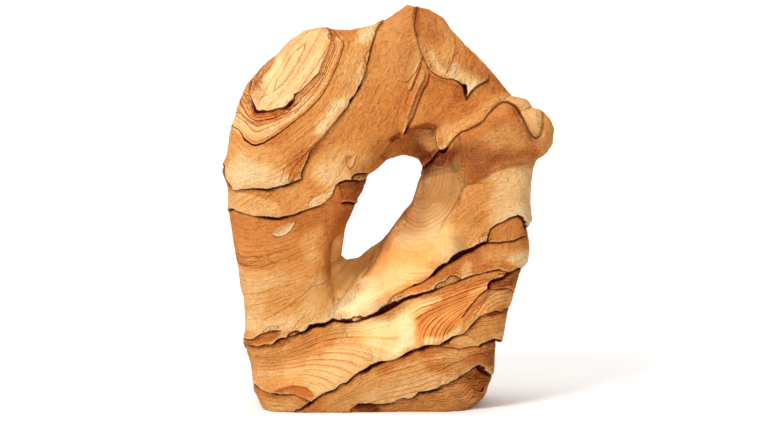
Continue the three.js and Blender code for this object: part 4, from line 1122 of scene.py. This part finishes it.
    (0.66, 1.5, [(54, 42.5), (60, 46.5), (72, 50), (71, 46), (62, 43)]),
    # Feet and lower band
    (0.52, 2, [(-84, 15), (-76, 11.5), (-58, 9), (-46, 4), (-52, -4), (-86, -4)]),
    (0.72, 2, [(-80, 4.5), (-60, 5), (-54, -1), (-78, -1)]),
    (0.58, 3, [(-54, -4), (-30, 14), (-10, 27), (20, 37), (44, 46), (70, 44), (66, 26), (46, 20), (24, 10),
               (4, 4), (-20, 3)]),
    (0.3, 3, [(-54, -2), (-44, 6.5), (-38, 8), (-40, 2), (-44, -4)]),
    (0.64, 5, [(-22, 12), (-8, 24), (8, 30), (22, 26), (36, 22), (48, 21), (34, 15), (18, 8), (4, 4.5),
               (-16, 5)]),
    (0.36, 3, [(22, 30), (30, 30), (42, 28), (52, 30), (48, 24), (34, 23), (24, 26)]),
    (0.3, 3, [(-6, 27), (16, 36), (34, 41), (44, 42), (50, 38), (36, 36), (16, 30), (-6, 23)]),
    (0.62, 1, [(37, 42.5), (42, 45), (50, 46), (55, 42), (48, 39), (40, 40)]),
    (0.3, 3, [(44, 28), (50, 40), (58, 38), (58, 30), (52, 25)]),
    (0.2, 4, [(55, 38), (66, 44), (72, 44), (70, 30), (64, 22), (56, 27)]),
    (0.48, 2, [(-24, -4), (-20, 3), (4, 3.5), (14, 6), (34, 15), (50, 22), (66, 24), (66, -4)]),
    (0.02, 2, [(-22, 3.5), (-8, 3.6), (-4, 0), (-6, -4), (-16, -4)]),
    # Recess at the right foot, darkened as painted shade
    (0.18, 4, [(46, 20), (57, 26), (66, 24), (66, 8), (54, 8), (50, 14)]),
]
# Ochre walls of the hole, where the stone is less red
TAN_STAINS = [
    (0.9, 4, [(14, 128), (20, 146), (28, 152), (40, 154), (47, 152), (47, 140), (39, 122), (30, 106),
              (12, 100), (2, 104), (8, 116)]),
    (0.35, 3, [(15, 162), (16, 168), (22, 174), (31, 172), (33, 160), (26, 156)]),
    (0.75, 4, [(-82, 204), (-60, 230), (-40, 234), (-38, 214), (-44, 202), (-57, 188), (-80, 184)]),
    (0.3, 8, [(44, 164), (58, 174), (68, 184), (76, 184), (88, 166), (88, 156), (60, 148), (48, 144)]),
    (0.25, 8, [(-4, 236), (14, 250), (40, 226), (24, 206), (16, 196), (4, 204)]),
    (0.4, 3, [(25, 222), (40, 212), (60, 206), (60, 200), (48, 190), (44, 202), (26, 210)]),
    (0.5, 3, [(66, 190), (80, 194), (94, 188), (92, 168), (86, 168), (78, 186)]),
]
# Worn smooth, with no sandy relief
SMOOTH_PLACES = [
    (1.0, 5, [(-34, 60), (-20, 74), (-8, 86), (0, 104), (12, 122), (24, 146), (34, 150), (47, 150),
              (47, 138), (38, 120), (40, 106), (28, 86), (10, 72), (-8, 64), (-22, 58)]),
    (0.9, 5, [(-24, 52), (0, 60), (16, 66), (40, 74), (60, 80), (60, 62), (44, 50), (30, 40), (4, 34),
              (-10, 30)]),
    (0.6, 5, [(-80, 184), (-74, 205), (-60, 224), (-44, 232), (-34, 222), (-44, 200), (-58, 184),
              (-72, 178)]),
    (0.6, 6, [(-80, 20), (-40, 42), (-10, 52), (-10, 30), (-30, 16), (-48, 8)]),
    (0.5, 4, [(38, 164), (56, 178), (68, 190), (90, 188), (90, 170), (76, 182), (62, 176), (48, 166)]),
]
# Where the thin dark layers show, and how strongly
LINED_PLACES = [
    (0.55, 3, [(-72, 141), (-66, 156), (-54, 172), (-38, 188), (-30, 192), (-32, 186), (-46, 170),
               (-58, 152), (-64, 141)]),
    (0.45, 3, [(-38, 236), (-34, 227), (-20, 222), (-9, 224), (-6, 236)]),
    (0.35, 3, [(-32, 146), (-28, 160), (0, 170), (4, 164), (-12, 148)]),
    (0.1, 6, [(-99, 236), (-60, 236), (-30, 230), (-6, 236), (-14, 206), (-30, 186), (-50, 160), (-54, 144),
              (-99, 142)]),
    (0.06, 5, [(-6, 236), (14, 250), (20, 216), (8, 186), (2, 166), (-22, 158), (-44, 162), (-14, 204)]),
    (0.4, 4, [(-99, 136), (-66, 136), (-52, 141), (-30, 140), (-44, 127), (-66, 121), (-99, 126)]),
    (0.1, 6, [(-96, 118), (-66, 116), (-30, 126), (-28, 108), (-34, 92), (-64, 92), (-92, 94)]),
    (0.55, 5, [(-95, 98), (-60, 104), (-40, 98), (-50, 88), (-92, 84)]),
    (0.25, 6, [(-90, 86), (-40, 90), (-36, 66), (-60, 50), (-86, 46)]),
    (0.2, 5, [(10, 140), (20, 112), (40, 118), (47, 146), (36, 150), (24, 150)]),
    (0.13, 5, [(0, 112), (12, 122), (40, 116), (34, 96), (10, 84), (-6, 92)]),
    (0.4, 3, [(-22, 60), (0, 80), (30, 94), (34, 90), (20, 80), (0, 66), (-14, 58)]),
    (0.3, 5, [(44, 140), (62, 144), (68, 134), (64, 118), (60, 110), (56, 104), (44, 106)]),
    (0.12, 5, [(52, 150), (100, 156), (100, 180), (72, 186), (56, 172)]),
    (0.2, 4, [(20, 76), (50, 96), (86, 106), (86, 90), (60, 88), (28, 76)]),
    (0.55, 4, [(-86, 42), (-60, 45), (-30, 54), (-4, 58), (6, 48), (6, 36), (-20, 24), (-40, 12), (-56, 18),
               (-80, 18)]),
    (0.85, 1.5, [(18, 66), (40, 76), (62, 83), (76, 83), (74, 64), (56, 60), (36, 44), (26, 41), (18.5, 42),
                 (18, 54)]),
    (0.5, 2, [(2, 63), (20, 70), (18, 62), (-8, 56), (-20, 54)]),
    (0.65, 3, [(56, 60), (74, 66), (72, 48), (54, 44), (44, 46)]),
    (0.6, 3, [(-46, 0), (-30, 14), (-8, 28), (22, 38), (44, 45), (68, 44), (68, 26), (44, 20), (24, 12),
              (8, 6), (-24, 2)]),
    (0.85, 1.5, [(-26, -4), (-14, 3), (20, 10), (50, 22), (66, 24), (66, -4)]),
    (0.7, 1.5, [(-86, 14), (-66, 9), (-48, 5), (-56, -4), (-84, -4)]),
]

# Softness up to which a patch's edge is crisp, softness at which it is as uneven as any,
# and how uneven it is for each millimetre of softness
CRISP, MOST_UNEVEN, UNEVENNESS = 2.5, 7, 0.7
# Noises of the patches' edges and of the clouds: (share, size in millimetres, seed), and the
# values between which the clouds that they make begin and are full
PATCH_EDGES = [(1, 15, 51), (0.6, 6, 52)]
PALE_CLOUDS, PALE_BETWEEN = [(1, 34, 31), (0.5, 14, 32), (0.3, 5, 36)], (0.1, 0.9)
IRON_CLOUDS, IRON_BETWEEN = [(1, 30, 33), (0.5, 13, 34), (0.3, 5, 37)], (0.05, 0.8)
LINED_CLOUDS, LINED_BETWEEN, LINED_BEHIND = [(1, 24, 35)], (-0.4, 0.4), 0.6
# Tone behind the front, and how far pale and rusty clouds change it
BACK_TONE, PALE_LIFT, IRON_DROP = BARE_TONE + 0.05, 0.34, 0.28
# Painted highlights on the upper edges above the cracks and painted shade below them: half
# openings between which they begin and are full, how strong they are, how far they reach,
# and how far they change the tone
LIPS_BY_OPENING = (0.1, 0.7)
LIP_STRENGTH, LIP_REACH, LIP_LIFT = 0.9, 1.4, 0.42
SHEET_SHADE, SHADE_REACH, SHADE_DROP = 0.5, 3.0, 0.14
SHADING_SHEETS = [name for name in SHEETS if name not in ("rings", "lens")]
# Distance where no crack or crease is near, how many times the length past a crease's end
# counts, and how the opening falls beside a crack
NO_CRACK, NO_CREASE, PAST_CREASE = 9.0, 6.0, 3
GAPE_FALL, GAPE_FALLS_BETWEEN = 4, (1.5, 3.5)
# The lens: middle and slope of its rings, how much longer than wide they are, how much
# closer they lie at the upper left, and where it and its sheet begin
LENS_X, LENS_Z, LENS_SLOPE, LENS_STRETCH, LENS_NARROWING = -59, 208, math.radians(54), 7, 1.25
LENS_EDGE, RINGS_EDGE, NARROWEST_RINGS = (-0.2, 0.4), (-0.4, 0.4), 1.5
# Depths between which the channel's colour ends
CHANNEL_COLOUR_BETWEEN = (20, 40)


def stained(table, x, z, uneven):
    """Patches laid over each other at places, 0 to 1: stains, and in the front's tone also
    painted shade. One of strength s leaves 1 - s of what was bare. Each fades across its
    outline over its softness, and soft ones unevenly."""
    total = np.zeros(x.shape)
    for strength, soft, edge in table:
        near = look_up(line_map(edge, closed=True)[0], x, z)
        near = near + uneven * min(soft, MOST_UNEVEN) * UNEVENNESS
        reach = soft if soft > CRISP else 0.5 * soft
        total = 1 - (1 - total) * (1 - strength * ramp(-reach, reach, near))
    return total


def nearest_crack(lay):
    """Signed distance to the crack whose edge is nearest to each point, and half its
    opening, which falls off beside the crack so that no far crack is drawn."""
    gap, gape = np.full(len(lay["x"]), NO_CRACK), np.full(len(lay["x"]), -NO_CRACK)
    for distance, half in open_cracks(lay):
        closer = half - np.abs(distance) > gape - np.abs(gap)
        gap = np.where(closer, distance, gap)
        gape = np.where(closer, half, gape)
    beside = np.abs(gap) - np.maximum(gape, 0)
    return gap, gape - GAPE_FALL * ramp(*GAPE_FALLS_BETWEEN, beside)


def highlights_and_shade(lay):
    """Painted highlights on the upper edges above the open cracks and painted shade below them,
    0 to 1. Past the crack's edge by e they are e^(-e / reach) as strong."""
    lips, shade = np.zeros(len(lay["x"])), np.zeros(len(lay["x"]))
    beds = [(lay["above"][name], lay["opening"][name], 1.0) for name in BED_CRACKS]
    beds += [(lay["edges"][name], lay["opening"][name], SHEET_SHADE) for name in SHADING_SHEETS]
    for distance, half, strength in beds:
        wide = ramp(*LIPS_BY_OPENING, half)
        lip_highlight = LIP_STRENGTH * wide * np.exp(-np.maximum(distance - half, 0) / LIP_REACH)
        lips = np.maximum(lips, lip_highlight * (distance > 0))
        under = strength * wide * np.exp(np.minimum(distance + half, 0) / SHADE_REACH)
        shade = np.maximum(shade, under * (distance < 0))
    return lips, shade


def tone_of(lay, seen, uneven, pale, to_back):
    """Tone: iron stain and painted shade in patches on the front, loose pale and rusty clouds
    behind it, painted highlights above the cracks and painted shade below them."""
    tone = np.full(len(seen), BARE_TONE)
    for level, soft, edge in PATCHES:
        tone = lerp(tone, level, stained([(1.0, soft, edge)], lay["x"], lay["z"], uneven))
    iron = ramp(*IRON_BETWEEN, noise_sum(seen, IRON_CLOUDS))
    tone = lerp(tone, BACK_TONE + PALE_LIFT * pale - IRON_DROP * iron * (1 - pale), to_back)
    lips, shade = highlights_and_shade(lay)
    return tone + LIP_LIFT * lips * (1 - np.clip(tone, 0, 0.9)) - SHADE_DROP * shade


def nearest_crease(x, z):
    """Signed distance to the nearest of the creases down the cap, plus three times the
    length by which a place lies past its end."""
    crease = np.full(len(x), NO_CREASE)
    for flat_map, past in ridge_maps[:CREASES]:
        near = look_up(flat_map, x, z)
        near = near - np.sign(near) * PAST_CREASE * np.minimum(look_up(past, x, z), 0)
        crease = np.where(np.abs(near) < np.abs(crease), near, crease)
    return crease


def lens_rings(x, z):
    """Place across the lens's own long, slanted rings: with a the distance along their axis
    and o that off it, sqrt(o^2 + (a / 7)^2), and more on the axis's upper left."""
    off = (x - LENS_X) * math.sin(LENS_SLOPE) - (z - LENS_Z) * math.cos(LENS_SLOPE)
    along = (x - LENS_X) * math.cos(LENS_SLOPE) + (z - LENS_Z) * math.sin(LENS_SLOPE)
    return np.hypot(off, along / LENS_STRETCH) * np.where(off > 0, 1, LENS_NARROWING)


def colour_zones(mesh):
    """Writes what the material reads at each point: the place in the pile of layers, the
    nearest crack and crease, the stains with the painted highlights and shade in their tone,
    and the places across the rings."""
    seen = np.empty(len(mesh.vertices) * 3, np.float32)
    mesh.attributes["seen"].data.foreach_get("vector", seen)
    seen = seen.reshape(-1, 3).astype(float)
    lay = layout(seen)
    x, y, z = seen.T
    to_back = ramp(*FRONT_COLOURS_BETWEEN, y)
    uneven = noise_sum(seen, PATCH_EDGES)
    pale = ramp(*PALE_BETWEEN, noise_sum(seen, PALE_CLOUDS))
    gap, gape = nearest_crack(lay)
    lens, rings = lay["edges"]["lens"], lay["edges"]["rings"]
    channel_map, channel_reach = dish_maps[0]
    channel = ramp(0, look_up(channel_reach, x, z), look_up(channel_map, x, z))
    channel = channel * (1 - ramp(*CHANNEL_COLOUR_BETWEEN, y))
    lined = stained(LINED_PLACES, x, z, uneven)
    lined_behind = LINED_BEHIND * ramp(*LINED_BETWEEN, noise_sum(seen, LINED_CLOUDS))
    lined = lerp(lined, lined_behind, to_back) * (1 - ramp(*RINGS_EDGE, rings)) * (1 - channel)
    zones = {
        "gap": gap,
        "gape": gape,
        "tone": tone_of(lay, seen, uneven, pale, to_back),
        "smooth": lerp(stained(SMOOTH_PLACES, x, z, uneven), 0.5 * pale, to_back),
        "tan": stained(TAN_STAINS, x, z, uneven) * (1 - to_back),
        "channel": channel,
        "crease": nearest_crease(x, z),
        "layers": layers_of(lay),
        "ring_place": rings / np.maximum(rings + np.maximum(-lens, 0), NARROWEST_RINGS),
        "lens_place": lens_rings(x, z),
        "in_lens": ramp(*LENS_EDGE, lens),
        "banding": lined,
    }
    for name, values in zones.items():
        made = mesh.attributes.new(name, "FLOAT", "POINT")
        made.data.foreach_set("value", np.asarray(values, np.float32))


colour_zones(dressed)

# Materials


def linear(hex_colour):
    """sRGB hex to linear red, green, blue, alpha."""
    channels = [int(hex_colour[i:i + 2], 16) / 255 for i in (1, 3, 5)]
    return [c / 12.92 if c <= 0.04045 else ((c + 0.055) / 1.055) ** 2.4 for c in channels] + [1.0]


stone_material = bpy.data.materials.new("iron_stained_sandstone")
stone_material.use_nodes = True
tree = stone_material.node_tree
tree.nodes.clear()


def node(kind, settings=None, **inputs):
    """Adds a node to the stone's material. settings are its own properties; inputs are
    sockets by name, or by number as i0, i1; a value is set, and a socket is linked."""
    made = tree.nodes.new(kind)
    for key, value in (settings or {}).items():
        setattr(made, key, value)
    for key, value in inputs.items():
        socket = made.inputs[int(key[1:])] if key[1:].isdigit() else made.inputs[key.replace("_", " ")]
        if isinstance(value, bpy.types.NodeSocket):
            tree.links.new(value, socket)
        else:
            socket.default_value = value
    return made


def attribute(name):
    return node("ShaderNodeAttribute", {"attribute_name": name}).outputs["Fac"]


def maths(operation, a, b=0.0):
    return node("ShaderNodeMath", {"operation": operation}, i0=a, i1=b).outputs[0]


def times(*factors):
    return functools.reduce(lambda a, b: maths("MULTIPLY", a, b), factors)


def plus(*terms):
    return functools.reduce(lambda a, b: maths("ADD", a, b), terms)


def minus(a, b):
    return maths("SUBTRACT", a, b)


def span(value, low, high, to_low=0.0, to_high=1.0, steps="SMOOTHSTEP"):
    """Value from low to high as a smooth step from to_low to to_high."""
    return node("ShaderNodeMapRange", {"interpolation_type": steps},
                i0=value, i1=low, i2=high, i3=to_low, i4=to_high).outputs[0]


def mix(factor, a, b):
    made = node("ShaderNodeMix", {"data_type": "RGBA", "clamp_factor": True}, i0=factor, i6=a, i7=b)
    return made.outputs[2]


def noise(vector, scale, detail, roughness=0.5):
    made = node("ShaderNodeTexNoise", Vector=vector, Scale=scale, Detail=detail, Roughness=roughness)
    return made.outputs["Fac"]


def streaks(along, size, shift):
    """Noise along one coordinate, with features of that size in its own millimetres."""
    made = node("ShaderNodeTexNoise", {"noise_dimensions": "1D"},
                W=plus(along, shift), Scale=1 / size, Detail=1.0, Roughness=0.55)
    return made.outputs["Fac"]


def banded(along, spacing, seed):
    """Layers of about that thickness along a coordinate in millimetres. Returns how far
    through its layer a place lies, 0 to 1, and a value of each layer's own, 0 to 1."""
    swayed = plus(along, times(streaks(along, SWAY_SIZE, seed), SWAY))
    steps = maths("DIVIDE", swayed, spacing)
    own = node("ShaderNodeTexWhiteNoise", {"noise_dimensions": "1D"}, W=maths("FLOOR", steps))
    return maths("FRACT", steps), own.outputs["Value"]


def edge_line(part, width):
    """1 at the lower edge of a layer, fading out over that share of it."""
    return times(span(part, 0.0, width, 1.0, 0.0), span(part, 0.0, 0.05))


def swing(value, amount, share=1.0):
    """Noise as a change either way of the tone."""
    return times(minus(value, 0.5), times(share, amount))


def colour_ramp(value, colours, low, high):
    """Colours by a value from low to high, given as (value, colour)."""
    made = node("ShaderNodeValToRGB", Fac=span(value, low, high, steps="LINEAR"))
    stops = made.color_ramp.elements
    while len(stops) < len(colours):
        stops.new(0.5)
    for stop, (at, colour) in zip(stops, colours):
        stop.position = (at - low) / (high - low)
        stop.color = colour
    return made.outputs["Color"]


def pile_lines(place, layers, banding):
    """Thin dark lines at the lower edges of the layers, in two thicknesses, fading in and
    out over the stone. Returns the lines, and how far through its layer each place lies."""
    through, own = banded(layers, LAYER_THICKNESS, 0.0)
    fine_through, fine_own = banded(layers, FINE_LAYER_THICKNESS, 57.0)
    lines = times(edge_line(through, LINE_WIDTH), span(own, 0.1, 0.9, 0.2, 1.0))
    fine_lines = times(edge_line(fine_through, FINE_LINE_WIDTH), span(fine_own, 0.4, 1.0, 0.0, 0.5))
    fading = span(noise(place, 45.0, 3.0), 0.34, 0.56, 0.3, 1.0)
    return times(maths("MAXIMUM", lines, fine_lines), fading, banding), through


# Colours of the sandstone by tone, from the rusty black of deep shade through brown and
# orange to the palest cream, where it is red with iron and where it is ochre
LOWEST_TONE, HIGHEST_TONE = -0.3, 1.25
IRON_COLOURS = [
    (-0.3, "#4A1408"), (0.0, "#98471A"), (0.2, "#C66E30"), (0.4, "#E08C44"), (0.6, "#F0A95F"),
    (0.8, "#F9C687"), (1.0, "#FEDBA4"), (1.25, "#FFE8BC"),
]
OCHRE_COLOURS = [
    (-0.3, "#3A1509"), (0.0, "#84552E"), (0.3, "#B4804A"), (0.6, "#DDB078"), (0.8, "#EBC78F"),
    (1.0, "#F6DAA8"), (1.25, "#FFECC8"),
]
# Floor of the channel: its own yellow, made paler than it is as painted light, since the channel lies in
# shade; deep and light yellows, and how far they cover
CHANNEL_DEEP, CHANNEL_LIGHT, CHANNEL_COVER = "#FFC064", "#FFD68A", 0.9
# Rim below an open crack, partly rust and partly painted shade under the bed above, and the
# inside of thin and of open cracks
RIM_COLOUR, RIM_COVER, RIM_WIDTH = "#8A3A16", 0.8, 1.7
THIN_CRACK, OPEN_CRACK = "#9C4A20", "#641A0E"

# Where the rings between the lens and the edge of its sheet are dark: place from the
# edge (0) to the lens (1), and darkness
RING_LINES = [
    (-0.03, 0.0), (0.0, 0.75), (0.03, 0.75), (0.05, 0.1), (0.09, 0.05), (0.11, 0.45), (0.13, 0.05),
    (0.36, 0.0), (0.40, 0.5), (0.42, 0.1), (0.51, 0.05), (0.54, 0.6), (0.57, 0.2), (0.66, 0.15),
    (0.69, 0.9), (0.73, 0.3), (0.77, 0.2), (0.80, 0.55), (0.83, 0.15), (0.88, 0.5), (0.92, 0.2),
]
RING_LINES_BETWEEN = (-0.05, 0.95)

# Unevenness of the stone: noise's scale, detail and roughness, change of the tone either way,
# and rise in millimetres. Scales are per metre, or per millimetre along the layers. Where a
# noise also rises, its tone goes with its rise, so low places are darker: partly the sand's
# own uneven tone, partly painted shade in the hollows.
GRAINS = {
    "blotches": (110.0, 5.0, 0.6, 0.1, 0.0),
    "patches": (38.0, 4.0, 0.5, 0.2, 0.0),
    "swells": (140.0, 3.0, 0.55, 0.08, 4.5),
    "bumps": (400.0, 4.0, 0.6, 0.12, 3.4),
    "grain": (1100.0, 3.0, 0.6, 0.35, 1.8),
    "wrinkles": (0.8, 3.0, 0.6, 0.2, 3.2),
    "threads": (0.3, 2.0, 0.5, 0.14, 3.6),
}
ALONG_LAYERS = ("wrinkles", "threads")
# A metre along the layers counts as this many millimetres across them, which draws these
# out to three times their thickness
DRAWN_OUT = 330.0
# Seen in the tone of worn places too, and how much of the others is worn away there
ON_WORN = ("blotches", "patches", "swells")
WORN_AWAY = 0.8
CHANNEL_SMOOTH = 0.7

# Thickness of the layers in millimetres, and how they and the rings sway
LAYER_THICKNESS, FINE_LAYER_THICKNESS, THICK_LAYER, LENS_RING_WIDTH = 2.7, 1.1, 6.5, 2.3
SWAY, SWAY_SIZE = 5.0, 9.0
# Share of a layer over which the dark line at its edge fades out
LINE_WIDTH, FINE_LINE_WIDTH = 0.36, 0.6
LAYER_RUFFLE, RING_RUFFLE = 1.1, 0.035
# Raggedness of the cracks' edges, thin and open, width of the painted highlight above them,
# and how far beside a crease its painted shade lies
RAGGEDNESS = (0.7, 2.0)
LIP_WIDTH, CREASE_SHADE_AT = 1.6, 1.5

# Change of the tone by each marking, among them painted highlights and painted shade, and
# rise of the layers in millimetres
TONE_LIFT = 0.04
TONE_BY = {
    "bright_crease": 0.3, "dark_crease": -0.4, "pits": -0.22, "lips": 0.24, "lines": -0.85,
    "ring_lines": -1.2, "lens_lines": -0.5, "layers": 0.14, "thick_layers": 0.2, "rings": 0.2, "lens": 0.5,
}
RISE_BY = {"layers": 0.45, "thick_layers": 0.3, "ring_lines": -0.35}


def rings_of(ruffle):
    """Dark lines of the ringed sheet and of the lens on it, and the loose change of tone
    across both."""
    ring_place = plus(attribute("ring_place"), times(ruffle, RING_RUFFLE))
    lens_place = plus(attribute("lens_place"), ruffle)
    in_lens = attribute("in_lens")
    in_rings = maths("MAXIMUM", span(ring_place, -0.03, 0.0), in_lens)
    greys = [(at, (dark, dark, dark, 1)) for at, dark in RING_LINES]
    ring_lines = times(colour_ramp(ring_place, greys, *RING_LINES_BETWEEN), minus(1.0, in_lens), in_rings)
    through, own = banded(lens_place, LENS_RING_WIDTH, 17.0)
    lens_lines = times(span(through, 0.0, 0.25, 1.0, 0.0), span(own, 0.3, 1.0), in_lens)
    loose = plus(swing(streaks(ring_place, 0.12, 5.0), TONE_BY["rings"], minus(in_rings, in_lens)),
                 swing(streaks(lens_place, 2.5, 3.0), TONE_BY["lens"], in_lens))
    return ring_lines, lens_lines, loose


def crack_edges(bumps):
    """Ragged distance to the nearest crack, half its opening, and the painted highlight on the
    edge above it.
    """
    gape = attribute("gape")
    ragged = times(minus(bumps, 0.5), span(gape, 0.2, 0.6, *RAGGEDNESS))
    gap = plus(attribute("gap"), ragged)
    into_bed = minus(gap, gape)
    lip_highlight = times(span(into_bed, 0.2, LIP_WIDTH, 1.0, 0.0), span(into_bed, -0.1, 0.1), span(gape, 0.1, 0.45))
    return gap, gape, lip_highlight


def stone_colour(tone, patches, gap, gape):
    """Colour by tone, with the ochre places, the channel's floor made paler as painted light, the
    rim below the cracks, partly rust and partly painted shade, and their dark inside laid over it."""
    iron, ochre = [colour_ramp(tone, [(at, linear(hex_colour)) for at, hex_colour in colours],
                               LOWEST_TONE, HIGHEST_TONE)
                   for colours in (IRON_COLOURS, OCHRE_COLOURS)]
    body = mix(attribute("tan"), iron, ochre)
    # Channel's floor, its own yellow made paler as painted light
    channel = mix(span(patches, 0.3, 0.7), linear(CHANNEL_DEEP), linear(CHANNEL_LIGHT))
    body = mix(times(attribute("channel"), CHANNEL_COVER), body, channel)
    beyond = minus(maths("ABSOLUTE", gap), gape)
    # Rust and painted shade below the open cracks
    rim = times(span(beyond, 0.0, RIM_WIDTH, RIM_COVER, 0.0), span(gape, 0.25, 0.9))
    body = mix(times(rim, span(gap, -0.2, 0.2, 1.0, 0.0)), body, linear(RIM_COLOUR))
    inside = mix(span(gape, 0.2, 0.8), linear(THIN_CRACK), linear(OPEN_CRACK))
    return mix(times(span(beyond, -0.15, 0.2, 1.0, 0.0), span(gape, 0.05, 0.5, 0.6, 1.0)), body, inside)


def sandstone():
    """Fine-grained, iron-stained sandstone, split along its beds and never polished: matt,
    with sand grain, thin darker layers, painted highlights above the cracks and on the creases,
    painted shade in the grain's hollows, beside the creases and below the cracks, and rusty
    open cracks."""
    place = node("ShaderNodeTexCoord").outputs["Object"]
    axes = node("ShaderNodeSeparateXYZ", Vector=place)
    layers = attribute("layers")
    along = plus(axes.outputs["X"], axes.outputs["Y"])
    drawn_out = node("ShaderNodeCombineXYZ", X=layers, Y=times(along, DRAWN_OUT),
                     Z=times(axes.outputs["Z"], DRAWN_OUT)).outputs[0]
    grains = {name: noise(drawn_out if name in ALONG_LAYERS else place, *look[:3])
              for name, look in GRAINS.items()}
    rough = minus(1.0, times(attribute("smooth"), WORN_AWAY))
    ruffle = minus(noise(place, 260.0, 3.0), 0.5)
    layers = plus(layers, times(ruffle, LAYER_RUFFLE))
    banding = attribute("banding")
    lines, through = pile_lines(place, layers, banding)
    wide_through, wide_own = banded(layers, THICK_LAYER, 31.0)
    ring_lines, lens_lines, loose = rings_of(ruffle)
    gap, gape, lip_highlight = crack_edges(grains["bumps"])
    crease = attribute("crease")
    # Lowest places of the fine grain, where the surface sinks, darkened as painted shade
    pits = times(span(grains["grain"], 0.3, 0.39, 1.0, 0.0), rough)
    changes = {
        "bright_crease": span(maths("ABSOLUTE", crease), 0.1, 0.9, 1.0, 0.0),
        "dark_crease": span(maths("ABSOLUTE", minus(crease, CREASE_SHADE_AT)), 0.2, 1.1, 1.0, 0.0),
        "pits": pits, "lips": lip_highlight, "lines": lines, "ring_lines": ring_lines, "lens_lines": lens_lines,
    }
    tone = plus(attribute("tone"), TONE_LIFT)
    for name, part in changes.items():
        tone = plus(tone, times(part, TONE_BY[name]))
    for name, (_, _, _, amount, _) in GRAINS.items():
        tone = plus(tone, swing(grains[name], amount, 1.0 if name in ON_WORN else rough))
    tone = plus(tone, swing(wide_own, TONE_BY["thick_layers"], banding),
                swing(through, TONE_BY["layers"], banding), loose)

    ledges = plus(times(through, banding, RISE_BY["layers"]),
                  times(wide_through, banding, RISE_BY["thick_layers"]),
                  times(ring_lines, RISE_BY["ring_lines"]))
    sandy = plus(*[times(grains[name], rise) for name, (_, _, _, _, rise) in GRAINS.items() if rise])
    softened_by = minus(1.0, times(attribute("channel"), CHANNEL_SMOOTH))
    height = times(plus(ledges, times(sandy, rough)), softened_by)
    bump = node("ShaderNodeBump", Strength=1.0, Distance=MM, Height=height)
    shader = node("ShaderNodeBsdfPrincipled", Base_Color=stone_colour(tone, grains["patches"], gap, gape),
                  Roughness=0.95, IOR=1.45, Specular_IOR_Level=0.12, Normal=bump.outputs[0])
    node("ShaderNodeOutputMaterial", Surface=shader.outputs[0])
    return stone_material


stone.data.materials.clear()
stone.data.materials.append(sandstone())
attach(stone, "root")
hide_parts("sandstone_arch")

# Floor, light and camera


def plain(name, hex_colour, roughness):
    """Plain matt paper."""
    material = bpy.data.materials.new(name)
    material.use_nodes = True
    shader = material.node_tree.nodes["Principled BSDF"]
    shader.inputs["Base Color"].default_value = linear(hex_colour)
    shader.inputs["Roughness"].default_value = roughness
    return material


def paper_sweep(width, front, bend, radius, top, steps):
    """Sheet of paper on the floor that curves up behind: for s along the profile, flat from
    front to bend, then a quarter circle of the radius, then upright to the top."""
    angle = np.linspace(0, np.pi / 2, steps)
    y = np.concatenate([[front], bend + radius * np.sin(angle), [bend + radius]])
    z = np.concatenate([[0], radius * (1 - np.cos(angle)), [top]])
    left = np.stack([np.full(len(y), -width), y, z], -1)
    right = left * (-1, 1, 1)
    row = np.arange(len(y) - 1)
    faces = np.stack([row, row + len(y), row + len(y) + 1, row + 1], -1)
    mesh = bpy.data.meshes.new("paper_sweep")
    mesh.from_pydata(np.vstack([left, right]).tolist(), [], faces.tolist())
    mesh.polygons.foreach_set("use_smooth", np.ones(len(faces), bool))
    return mesh


sweep_mesh = paper_sweep(4.0, -3.0, 0.9, 0.8, 3.0, 40)
sweep_mesh.materials.append(plain("matt_white_paper", "#FBFAF8", 0.9))
sweep = bpy.data.objects.new("paper_sweep", sweep_mesh)
sweep.location = (0, 0, -0.0002)
bpy.context.scene.collection.objects.link(sweep)

scene = bpy.context.scene
world = bpy.data.worlds.new("soft_white")
world.use_nodes = True
world.node_tree.nodes["Background"].inputs["Color"].default_value = (1, 1, 1, 1)
world.node_tree.nodes["Background"].inputs["Strength"].default_value = 0.57
scene.world = world


def area_light(name, place, target, size, power):
    """Square soft box at a place, turned to face a target."""
    data = bpy.data.lights.new(name, "AREA")
    data.size = size
    data.energy = power
    lamp = bpy.data.objects.new(name, data)
    lamp.location = place
    away = np.array(place) - np.array(target)
    flat = math.hypot(away[0], away[1])
    lamp.rotation_euler = (math.atan2(flat, away[2]), 0, math.atan2(away[0], -away[1]))
    scene.collection.objects.link(lamp)


middle = (0, 0, 0.13)
area_light("key", (-0.5, -0.9, 1.0), middle, 0.35, 15.5)
area_light("paper_light", (0, 0.3, 2.2), (0, 1.5, 0.5), 1.5, 22)

camera_data = bpy.data.cameras.new("camera")
camera_data.lens = 85
camera_data.sensor_width = 36
camera = bpy.data.objects.new("camera", camera_data)
eye_z = AIM_Z + EYE_AWAY * math.sin(EYE_RISE)
camera.location = (AIM_X * MM, -EYE_AWAY * MM * math.cos(EYE_RISE), eye_z * MM)
camera.rotation_euler = (math.pi / 2 - EYE_RISE, 0, 0)
scene.collection.objects.link(camera)
scene.camera = camera
scene.view_settings.view_transform = "Standard"
